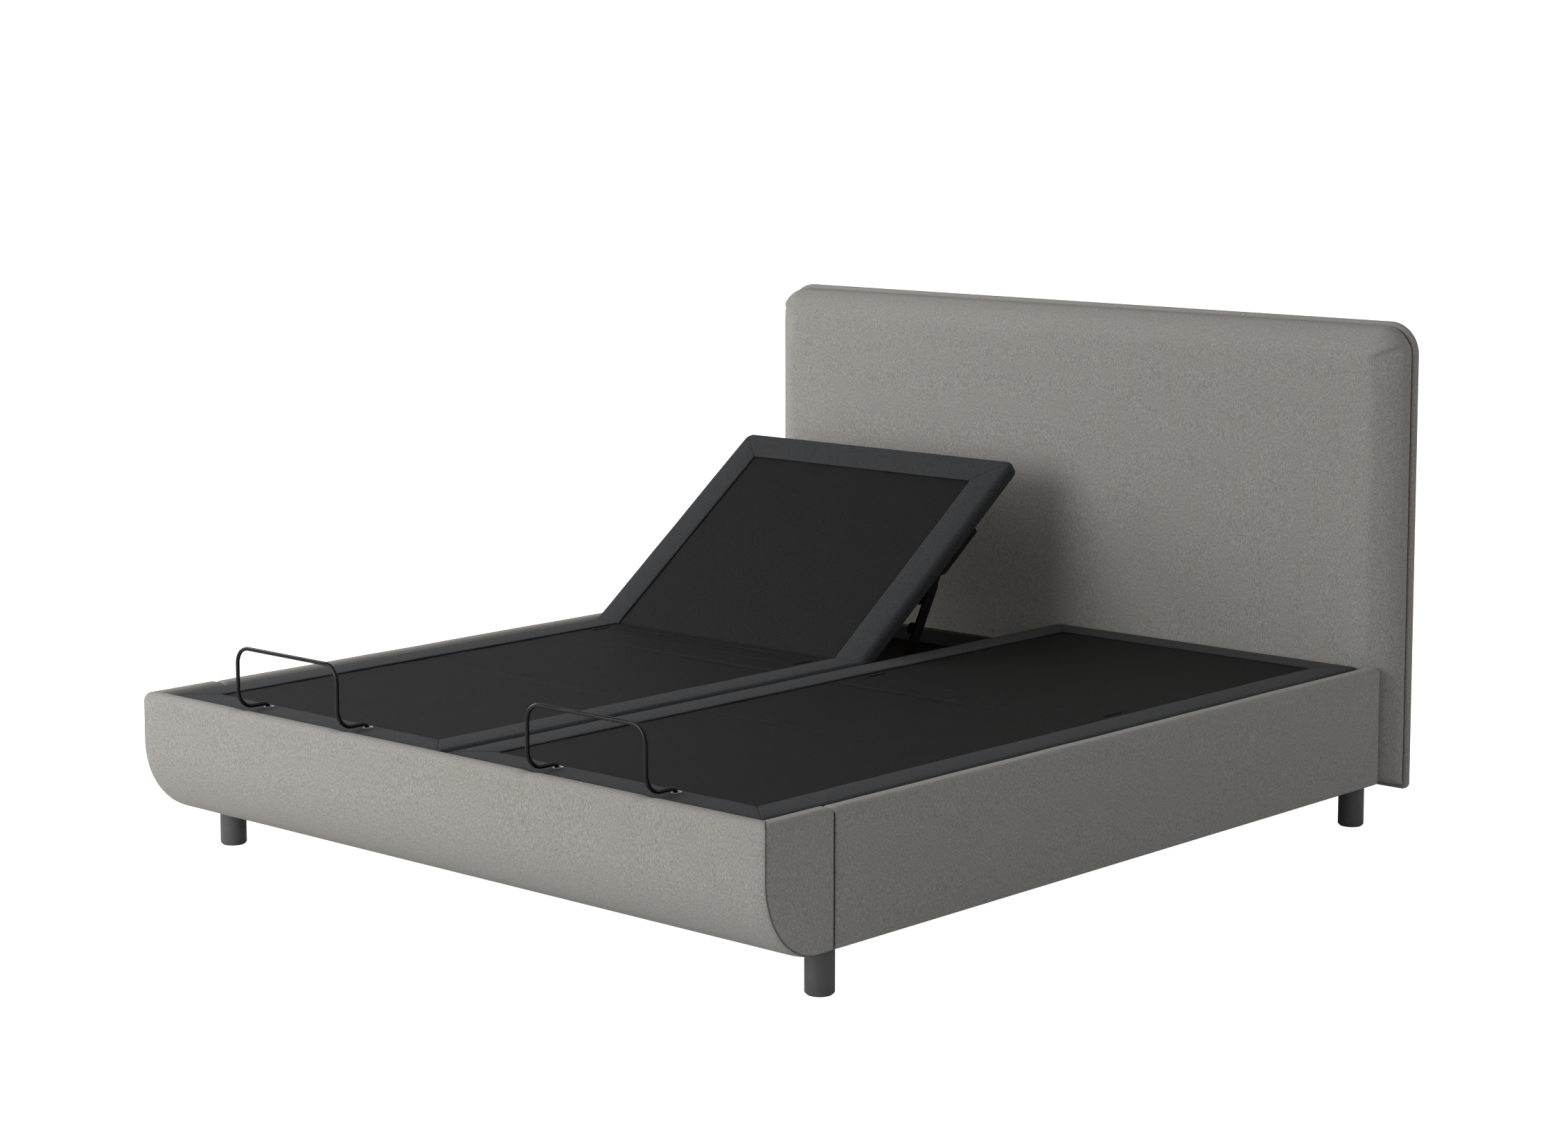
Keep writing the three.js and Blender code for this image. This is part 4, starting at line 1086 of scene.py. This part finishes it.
def border_loop(deck, inset, marks):
    """A closed line round the deck at one inset from its edge, in x and y. Each inset has as many points."""
    x0, x1 = deck.x0 + inset, deck.x1 - inset
    y0, y1 = deck.y0 + inset * BORDER_FALL, deck.y1 - inset
    foot = max(DECK_FOOT_CORNER - inset, SMALLEST_TURN)
    head = max(DECK_HEAD_CORNER - inset, SMALLEST_TURN)

    def near_corner(edge, turn, zone_edge):
        return [edge + turn + (zone_edge + CORNER_ZONE - edge - turn) * share for share in CORNER_SHARES]

    high = [y1 - head - (y1 - head - deck.y1 + CORNER_ZONE) * s for s in reversed(CORNER_SHARES)]
    side = near_corner(y0, foot, deck.y0) + list(marks[1:-1]) + high
    middle = spaced(deck.x0 + CORNER_ZONE, deck.x1 - CORNER_ZONE, DECK_STEP)[1:-1]
    mirror = deck.x0 + deck.x1
    foot_row, head_row = (near + middle + [mirror - x for x in reversed(near)]
                          for near in (near_corner(x0, foot, deck.x0), near_corner(x0, head, deck.x0)))
    line = [(x, y0) for x in foot_row]
    line += arc((x1 - foot, y0 + foot), foot, -90, 0, ARC_POINTS)[1:-1]
    line += [(x1, y) for y in side]
    line += arc((x1 - head, y1 - head), head, 0, 90, ARC_POINTS)[1:-1]
    line += [(x, y1) for x in reversed(head_row)]
    line += arc((x0 + head, y1 - head), head, 90, 180, ARC_POINTS)[1:-1]
    line += [(x0, y) for y in reversed(side)]
    line += arc((x0 + foot, y0 + foot), foot, 180, 270, ARC_POINTS)[1:-1]
    return np.array(line)


OUTLINE = 7


def border_section(deck):
    """(inset, height) stations of the border's cross-section: from under the board, up the side from the
    outline, over the roll, across the top and under the hem."""
    top, roll, width = deck.top + BORDER_PASS, BORDER_ROLL, BORDER_WIDTH
    wrap = ((24, 0.8), (16, -0.6), (8, -0.6), (3.2, -0.6), (1.4, 0.5), (0.5, 2.5), (0.1, 6))
    section = [(inset * MM, deck.bottom + rise * MM) for inset, rise in wrap]
    section += [(0.0, top - roll - 1 * MM)]
    section += [(roll * a, top - roll * b) for a, b in easing(8)]
    for inset in (20, 26, 34, 44, 54, 64, 72, 78, 82):
        share = (inset * MM - roll) / (width - roll)
        section.append((inset * MM, top + BORDER_CROWN * math.sin(math.pi * share) ** 0.8))
    section += [(width - inset * MM, top - drop * MM)
                for inset, drop in ((1.6, 0.2), (0.3, 1.0), (0.0, 2.2), (1.5, 4.2), (12, 5.0))]
    return section + [(20 * MM, top - 8.0 * MM)]


def border_pieces(deck, material, nodes):
    marks = deck.stations()
    section = border_section(deck)
    loops = [border_loop(deck, inset, marks) for inset, _ in section]
    layers, count = len(section), len(loops[0])
    rows = []
    for (inset, z), loop in zip(section, loops):
        height = np.full(count, z)
        if z > deck.top - BORDER_HEM:
            height -= mitre_groove(deck, loop, inset)
            height += wobble(np.column_stack([loop, height]), scale=12.0, amount=0.56 * MM, seed=30.0)
        rows.append(np.column_stack([loop, height]))
    reach = np.concatenate([[section[0][0]], np.linalg.norm(np.diff(section, axis=0), axis=1)]).cumsum()
    placed = deck.placed(np.concatenate(rows))
    outline = loops[OUTLINE]
    run = np.concatenate([[0.0], np.cumsum(np.linalg.norm(np.diff(outline, axis=0), axis=1))])
    total = run[-1] + np.linalg.norm(outline[0] - outline[-1])
    middle_y = (outline[:, 1] + np.roll(outline[:, 1], -1)) / 2
    faces, uvs = ([], [], []), ([], [], [])
    for k in range(layers):
        n = (k + 1) % layers
        v0, v1 = reach[k], reach[n] if n else reach[k] + 5 * MM
        for j in range(count):
            m = (j + 1) % count
            face = (k * count + j, k * count + m, n * count + m, n * count + j)
            u0, u1 = run[j], run[m] if m else total
            corners = [(u0, v0), (u1, v0), (u1, v1), (u0, v1)]
            if deck.side < 0:
                face, corners = face[::-1], corners[::-1]
            third = deck.third(middle_y[j])
            faces[third].append(face)
            uvs[third].extend(corners)
    for index, label in enumerate(THIRDS):
        used, inverse = np.unique(np.array(faces[index]), return_inverse=True)
        thing = piece(f"deck_border_{label}_{deck.name}", (placed[used], inverse.reshape(-1, 4)), material,
                      nodes[index], body=None, uvs=uvs[index])
        deck.join(thing, index)


MITRE_DEPTH = 1.3 * MM
MITRE_WIDTH = 1.8 * MM
MITRE_REACH = BORDER_WIDTH + 2 * MM
MITRE_FADE = 12 * MM


def deck_corners(deck):
    """Each corner of the deck: its x and y, the directions inwards, and the mitre's slope."""
    return [(x, sign_x, y, sign_y, fall) for x, sign_x in ((deck.x0, 1), (deck.x1, -1))
            for y, sign_y, fall in ((deck.y0, 1, BORDER_FALL), (deck.y1, -1, 1.0))]


def mitre_groove(deck, loop, inset):
    """The border's four strips meet in seams that run from the deck's corners to the mesh's."""
    depth = np.zeros(len(loop))
    for corner_x, sign_x, corner_y, sign_y, fall in deck_corners(deck):
        a = sign_x * (loop[:, 0] - corner_x)
        b = sign_y * (loop[:, 1] - corner_y)
        off = (b - fall * a) / math.hypot(1.0, fall)
        near = (a < MITRE_REACH) & (b < MITRE_REACH)
        depth += near * MITRE_DEPTH * np.exp(-(off / MITRE_WIDTH) ** 2)
    return depth * min(1.0, inset / MITRE_FADE)


FIELD_TUCK = 6 * MM
FIELD_THICK = 4 * MM
FIELD_EDGE_DROP = 1.0 * MM
FIELD_EDGE_REACH = 16 * MM
HINGE_LINE_DEPTH = 0.2 * MM
HINGE_LINE_WIDTH = 3.0 * MM
SLIT_WIDTH = 8 * MM
SLIT_FROM_EDGE = 24 * MM
SLIT_START = 131 * MM
SLIT_LENGTH = 66 * MM
SAME_MARK = 0.4 * MM


def slit_places(deck):
    return deck.x0 + BORDER_WIDTH + SLIT_FROM_EDGE, deck.x1 - BORDER_WIDTH - SLIT_FROM_EDGE


def field_pieces(deck, material):
    """The dark mesh between the borders: a thin padded sheet with two slits near the back hinge."""
    x0, x1 = deck.x0 + BORDER_WIDTH - FIELD_TUCK, deck.x1 - BORDER_WIDTH + FIELD_TUCK
    y0, y1 = deck.y0 + BORDER_FOOT - FIELD_TUCK, deck.y1 - BORDER_WIDTH + FIELD_TUCK
    slit_x = slit_places(deck)
    slit_y = (BACK_Y - SLIT_START, BACK_Y - SLIT_START + SLIT_LENGTH)
    edges = sorted(v + s * SLIT_WIDTH / 2 for v in slit_x for s in (-1, 1))
    near = [x0 + step * MM for step in (0, 4, 8, 14)]
    near += [edges[0] - 3 * MM, edges[0], edges[1], edges[1] + 3 * MM]
    columns = near + spaced(edges[1] + 14 * MM, edges[2] - 14 * MM, DECK_STEP)
    columns += [x0 + x1 - x for x in near[::-1]]
    marks = [y0 + step * MM for step in (0, 4, 8, 16, 30)] + deck.stations()
    marks += [y1 - step * MM for step in (16, 8, 4, 0)]
    marks = sorted(set(marks) | set(slit_y) | {slit_y[0] - 4 * MM, slit_y[1] + 4 * MM, sum(slit_y) / 2})
    marks = [m for k, m in enumerate(marks) if k == 0 or m - marks[k - 1] > SAME_MARK]
    columns, marks = np.array(columns), np.array(marks)
    x, y = np.meshgrid(columns, marks)
    z = np.full_like(x, deck.top - BORDER_HEM + 1.0 * MM)
    for hinge in (KNEE_Y, HIP_Y):
        z -= HINGE_LINE_DEPTH * np.exp(-((y - hinge) / HINGE_LINE_WIDTH) ** 2)
    edge = np.minimum(np.minimum(x - x0, x1 - x), np.minimum(y - y0, y1 - y))
    z -= FIELD_EDGE_DROP * (1.0 - smooth_step(edge, 0.0, FIELD_EDGE_REACH))
    flat = np.stack([x, y, z], axis=-1).reshape(-1, 3)
    flat[:, 2] += wobble(flat, scale=9.0, amount=0.9 * MM, seed=41.0)
    cell_x, cell_y = np.meshgrid((columns[1:] + columns[:-1]) / 2, (marks[1:] + marks[:-1]) / 2)
    from_slit = np.minimum(np.abs(cell_x - slit_x[0]), np.abs(cell_x - slit_x[1]))
    slit = (from_slit < SLIT_WIDTH / 2) & (cell_y > slit_y[0]) & (cell_y < slit_y[1])
    third = (cell_y > deck.cuts[0]).astype(int) + (cell_y > deck.cuts[1])
    for index, label in enumerate(THIRDS):
        points, faces = sheet_shell(flat, (third == index) & ~slit)
        if deck.side < 0:
            faces = flipped(faces)
        uvs = [(deck.side * points[c][0], points[c][1]) for face in faces for c in face]
        thing = piece(f"deck_mesh_{label}_{deck.name}", (deck.placed(points), faces), material,
                      body=None, uvs=uvs)
        deck.join(thing, index)


def sheet_shell(flat, keep):
    """A closed thin sheet from the kept cells of a grid: top, underside and walls."""
    row = keep.shape[1] + 1
    cells = [tuple(cell) for cell in np.argwhere(keep)]
    used = sorted({(k + a) * row + j + b for k, j in cells for a in (0, 1) for b in (0, 1)})
    place = {v: n for n, v in enumerate(used)}
    above = flat[used]
    below = above - np.array([0.0, 0.0, FIELD_THICK])
    count = len(used)
    faces, walls = [], {}
    for k, j in cells:
        a, b = place[k * row + j], place[k * row + j + 1]
        c, d = place[(k + 1) * row + j + 1], place[(k + 1) * row + j]
        faces.append((a, b, c, d))
        faces.append((d + count, c + count, b + count, a + count))
        for start, end in ((a, b), (b, c), (c, d), (d, a)):
            if walls.pop((end, start), None) is None:
                walls[(start, end)] = True
    faces += [(b, a, a + count, b + count) for a, b in walls]
    return np.concatenate([above, below]), faces


STITCH_RING = ((0.0, 1.0), (0.87, 0.35), (0.87, -0.6), (-0.87, -0.6), (-0.87, 0.35))
STITCH_SHAPE = ((-0.5, 0.25, -0.5), (-0.3, 0.85, 0.2), (0.3, 0.85, 0.2), (0.5, 0.25, -0.5))
UP = np.array([0.0, 0.0, 1.0])


def stitches(name, body, lines, length, gap, radius, material, place):
    """Rows of short sewn stitches along flat lines, each a small tapered bead of thread."""
    points, faces = [], []
    bead = tube_faces(len(STITCH_SHAPE), len(STITCH_RING))
    for start, end in lines:
        start, end = np.array(start, float), np.array(end, float)
        total = np.linalg.norm(end - start)
        run = (end - start) / total
        side = np.cross(UP, run)
        for k in range(int(total / (length + gap))):
            centre = start + run * ((k + 0.5) * (length + gap))
            base = len(points)
            for along, size, lift in STITCH_SHAPE:
                middle = centre + run * along * length + UP * lift * radius
                points += [middle + (side * across + UP * up) * size * radius for across, up in STITCH_RING]
            faces += [tuple(base + v for v in face) for face in bead]
    piece(name, (place(points), faces), material, body=body)


SEAM_INSET = 10 * MM
SEAM_BEFORE_BACK = 50 * MM
SEAM_RISE = 1.3 * MM
MITRE_STITCH_RISE = 1.9 * MM
MITRE_STITCH_OFF = 3.2 * MM
MITRE_STITCH_SPAN = (20 * MM, 82 * MM)


def deck_stitches(deck, dark, black):
    """Lines sewn across the mesh before the back hinge, and double rows beside the mitred corners."""
    top = deck.top - BORDER_HEM + SEAM_RISE
    x0, x1 = slit_places(deck)
    near, far = BACK_Y - SLIT_START, BACK_Y - SEAM_BEFORE_BACK
    lines = [((x0, near, top), (x1, near, top))]
    if deck.side < 0:
        lines.append(((x0 + SEAM_INSET, far, top), (x1 - SEAM_INSET, far, top)))
    stitches(f"deck_seam_{deck.name}", "bed_frame", lines, 3.6 * MM, 2.0 * MM, 0.6 * MM, black, deck.placed)
    rise = deck.top + MITRE_STITCH_RISE
    for label, body, end_sign in (("foot", "calf", 1), ("head", "back", -1)):
        rows = []
        for corner_x, sign_x, corner_y, sign_y, fall in deck_corners(deck):
            if sign_y != end_sign:
                continue
            across = np.array([-sign_x * fall, sign_y, 0.0]) / math.hypot(1.0, fall)
            begin, end = (np.array([corner_x + sign_x * away, corner_y + sign_y * away * fall, rise])
                          for away in MITRE_STITCH_SPAN)
            for off in (-MITRE_STITCH_OFF, MITRE_STITCH_OFF):
                rows.append((begin + across * off, end + across * off))
        stitches(f"mitre_stitching_{label}_{deck.name}", f"{body}_{deck.name}", rows, 2.8 * MM, 1.4 * MM,
                 0.4 * MM, dark, deck.placed)


# ---------- metal, plastic and wood ----------

RETAINER_ROD = 4.5 * MM
RETAINER_BEND = 40 * MM
RETAINER_CORNER = 36 * MM
RETAINER_DIP = 12 * MM
RETAINER_CLEAR = 11 * MM
RETAINER_START = 4 * MM


def retainer_piece(name, side, material):
    """The bent rod: out of its slot, forward, up, across and back the same way."""
    low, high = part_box("mattress_retainer_right")
    post_y, slot_y, top_z = low.y + RETAINER_ROD, high.y - RETAINER_ROD, high.z - RETAINER_ROD
    foot_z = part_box("calf_pad_right")[1].z + RETAINER_CLEAR
    start_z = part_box("calf_board_right")[0].z + RETAINER_START
    bend, corner, dip = RETAINER_BEND, RETAINER_CORNER, RETAINER_DIP

    def leg(x, inward):
        line = [(x, slot_y, start_z), (x, slot_y, foot_z - dip)]
        line += [(x, slot_y - dip * a, foot_z - dip * b) for a, b in easing(8)[1:]]
        line += [(x, post_y + bend * b, foot_z + bend * a) for a, b in easing(14)]
        return line + [(x + inward * corner * a, post_y, top_z - corner * b) for a, b in easing(14)]

    near, far = RETAINER_X
    path = [(side * x, y, z) for x, y, z in leg(near, 1.0) + leg(far, -1.0)[::-1]]
    rod = swept_tube(resampled(path, 3.5 * MM), RETAINER_ROD, 20)
    piece(f"retainer_rod_{name}", rod, material, [f"mattress_retainer_{name}"],
          body=f"calf_{name}")


EYELET_BASE = 3.5 * MM
EYELET_STEPS = ((0.0, 0.0), (0.0, 3.2), (0.5, 4.4), (1.6, 4.8), (2.4, 4.3), (3.0, 3.4), (4.0, 3.0))


def grommet_piece(name, label, material):
    """A white moulded eyelet: a raised oblong rim round a shallow tray. Its steps are in millimetres."""
    node = f"retainer_grommet_{label}_{name}"
    low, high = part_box(node)
    cx, cy = (low.x + high.x) / 2, (low.y + high.y) / 2
    half_turn = np.linspace(0.0, math.pi, 17)
    rings = []
    for inset, rise in EYELET_STEPS:
        x, y = (high.x - low.x) / 2 - inset * MM, (high.y - low.y) / 2 - inset * MM
        z = high.z - EYELET_BASE + rise * MM
        rings.append([(cx + way * x * math.cos(t), cy + way * (y - x + x * math.sin(t)), z)
                      for way in (1, -1) for t in half_turn])
    piece(f"eyelet_{label}_{name}", loft(rings), material, [node], body=f"calf_{name}")


SHARP_ANGLE = math.radians(40.0)
LEG_RADIUS = 30 * MM
LEG_UNDER = 0.3 * MM
PLATE_X = (850 * MM, 909 * MM)
PLATE_HALF = 30 * MM
PLATE_THICK = 4 * MM
PLATE_EDGE = 4 * MM
PLATE_SHIFT = {"front": 12 * MM, "rear": -20 * MM}


def turned(name, centre, profile, sides, material, slot, nodes=()):
    """A round piece turned from a profile of radii and heights."""
    angles = np.linspace(0.0, TURN, sides, endpoint=False)
    rings = [[(centre[0] + r * math.cos(t), centre[1] + r * math.sin(t), z) for t in angles]
             for r, z in profile]
    piece(name, loft(rings), material, nodes).data.set_sharp_from_angle(angle=SHARP_ANGLE)


def leg_piece(name, side, end, metal, glide):
    """A round leg with its glide, and its screw plate under the corner."""
    node = f"leg_{end}_{name}"
    low, high, _, outer = side_of(node, side)
    y = low.y + LEG_RADIUS if end == "front" else high.y - LEG_RADIUS
    centre = (side * (outer - LEG_RADIUS), y)
    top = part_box("footboard_front")[0].z - LEG_UNDER
    tube = [(LEG_RADIUS - inset * MM, z * MM) for inset, z in ((3, 2.5), (1.2, 3.0), (0, 5), (0, 40))]
    tube += [(LEG_RADIUS, top - 2 * MM), (LEG_RADIUS - 2 * MM, top)]
    turned(f"leg_tube_{end}_{name}", centre, tube, 56, metal, "leg_metal", [node])
    foot = [(LEG_RADIUS - inset * MM, z * MM)
            for inset, z in ((7, 0), (4.5, 0), (3.6, 0.8), (3.6, 3.2), (7, 3.2))]
    turned(f"leg_glide_{end}_{name}", centre, foot, 48, glide, "drive_casing")
    middle = y + PLATE_SHIFT[end]
    corners = ((PLATE_X[0], middle - PLATE_HALF), (PLATE_X[1], middle + PLATE_HALF))
    rings = [[(side * px, py, z) for px, py in rounded_rectangle(*corners, PLATE_EDGE, inset)]
             for z, inset in ((top - 1 * MM, 0.6 * MM), (top - 0.4 * MM, 0.0),
                              (top + PLATE_THICK - 0.6 * MM, 0.0), (top + PLATE_THICK, 0.6 * MM))]
    points, faces = loft(rings)
    faces = flipped(faces) if side < 0 else faces
    plate = piece(f"leg_plate_{end}_{name}", (points, faces), metal)
    plate.data.set_sharp_from_angle(angle=SHARP_ANGLE)


def finish_cad(black, casing, metal, level_ply, raised_ply):
    """The CAD nodes that keep their shape get their finishes."""
    for node in frame["nodes"]:
        if node.startswith(("frame_", "back_lift", "leg_lift", "back_channel")):
            dress(node, black)
        elif "hinge_rod" in node:
            dress(node, black, 0.4 * MM)
        elif node.startswith("drive_housing"):
            dress(node, casing, 2.0 * MM)
        elif node == "back_board_left":
            dress(node, raised_ply, 1.0 * MM)
        elif "_board_" in node or node == "centre_beam":
            dress(node, level_ply, 1.0 * MM)
        elif node == "centre_leg":
            dress(node, metal)


STEEL_BLACK = (0.0025, 0.0025, 0.0027)


def build():
    fabric = melange_fabric()
    border = border_fabric()
    # dark felt placed as painted shade in gaps, the groove and the head rail's shadowed face
    shadow_felt = dark_felt_for_shade()
    seam = thread("seam_thread", (0.075, 0.072, 0.067))
    mesh = mesh_fabric()
    black = powder_coat("black_powder_coat", STEEL_BLACK, 0.40, specular=0.20)
    rod_black = powder_coat("black_satin_rod", STEEL_BLACK, 0.24, specular=0.30)
    leg_grey = powder_coat("leg_grey_paint", (0.084, 0.084, 0.087), 0.48)
    casing = moulded_plastic("black_moulded_plastic", (0.018, 0.018, 0.020), 0.5)
    white = moulded_plastic("white_moulded_plastic", (0.62, 0.62, 0.61), 0.45)
    dark_thread = thread("charcoal_thread", (0.060, 0.062, 0.066))
    black_thread = thread("black_thread", (0.0022, 0.0022, 0.0022))
    level_ply = plywood("birch_plywood_level", 0.0)
    raised_ply = plywood("birch_plywood_raised", -LEFT_RAISED)

    footboard_front_piece(fabric)
    headboard_cushion_piece(fabric)
    headboard_panel_piece(fabric)
    cross_rail_piece(fabric, shadow_felt)
    groove_shade_strip_piece(shadow_felt)
    for name, side in SIDES:
        footboard_end_piece(name, side, fabric)
        side_rail_piece(name, side, fabric)
        seam_welt_piece(name, side, seam)
        corner_gap_shade_piece(name, side, shadow_felt)
        leg_piece(name, side, "front", leg_grey, casing)
        leg_piece(name, side, "rear", leg_grey, casing)
        retainer_piece(name, side, rod_black)
        grommet_piece(name, "inner", white)
        grommet_piece(name, "outer", white)
        deck = Deck(name, side)
        pads = [[f"calf_pad_{name}"], [f"thigh_pad_{name}"], [f"seat_pad_{name}", f"back_pad_{name}"]]
        border_pieces(deck, border, pads)
        field_pieces(deck, mesh)
        deck_stitches(deck, dark_thread, black_thread)
    finish_cad(black, casing, leg_grey, level_ply, raised_ply)


# ---------- stage ----------

STAGE_RADIUS = 60.0
STAGE_DARK = (0.86, 0.86, 0.86)
STAGE_LIGHT = (0.90, 0.90, 0.90)
BOUNCE_BELOW = 1 * MM


def stage_thing(name, material_name, points, faces, glow):
    s = Shader(material_name, roughness=0.9, specular=0.0)
    dust = s.noise(s.mapped(), scale=3.0)
    s.link(s.mix(dust, STAGE_DARK, STAGE_LIGHT), s.shader.inputs["Base Color"])
    s.shader.inputs["Emission Color"].default_value = (1.0, 1.0, 1.0, 1.0)
    s.shader.inputs["Emission Strength"].default_value = glow
    data = mesh_data(name, points, faces)
    data.materials.append(s.material)
    return show(name, data)


def make_stage():
    """A white floor and dome that only the camera sees, and a pale floor that only the light sees."""
    reach, rings, sides = STAGE_RADIUS, 12, 48

    def square(z):
        return [(-reach, -reach, z), (reach, -reach, z), (reach, reach, z), (-reach, reach, z)]

    floor = stage_thing("floor", "studio_floor", square(0.0), [(0, 1, 2, 3)], 1.0)
    bounce = stage_thing("floor_bounce", "studio_floor_bounce", square(-BOUNCE_BELOW), [(0, 1, 2, 3)], 0.0)
    bounce.visible_camera = False
    points = [(reach * math.cos(u) * math.cos(v), reach * math.cos(u) * math.sin(v), reach * math.sin(u))
              for u in np.linspace(-0.02, QUARTER - 0.01, rings)
              for v in np.linspace(0.0, TURN, sides, endpoint=False)]
    faces = flipped(tube_faces(rings, sides, cap_ends=False))
    faces.append(tuple(range((rings - 1) * sides, rings * sides)))
    dome = stage_thing("backdrop", "studio_backdrop", points, faces, 1.0)
    for thing in (floor, dome):
        for kind in ("diffuse", "glossy", "transmission", "volume_scatter", "shadow"):
            setattr(thing, f"visible_{kind}", False)


make_camera()
build()
make_stage()
make_world()
area_light("key_light", (-1.5, -5.2, 2.0), (0.0, 0.0, 0.5), size=4.0, watts=164.0)
area_light("left_light", (-4.6, -1.2, 2.4), (-0.6, 0.9, 0.8), size=3.0, watts=104.0)
area_light("right_light", (3.6, 3.6, 1.4), (0.95, 1.1, 0.2), size=3.0, watts=8.0)
bpy.context.scene.view_settings.view_transform = "Standard"
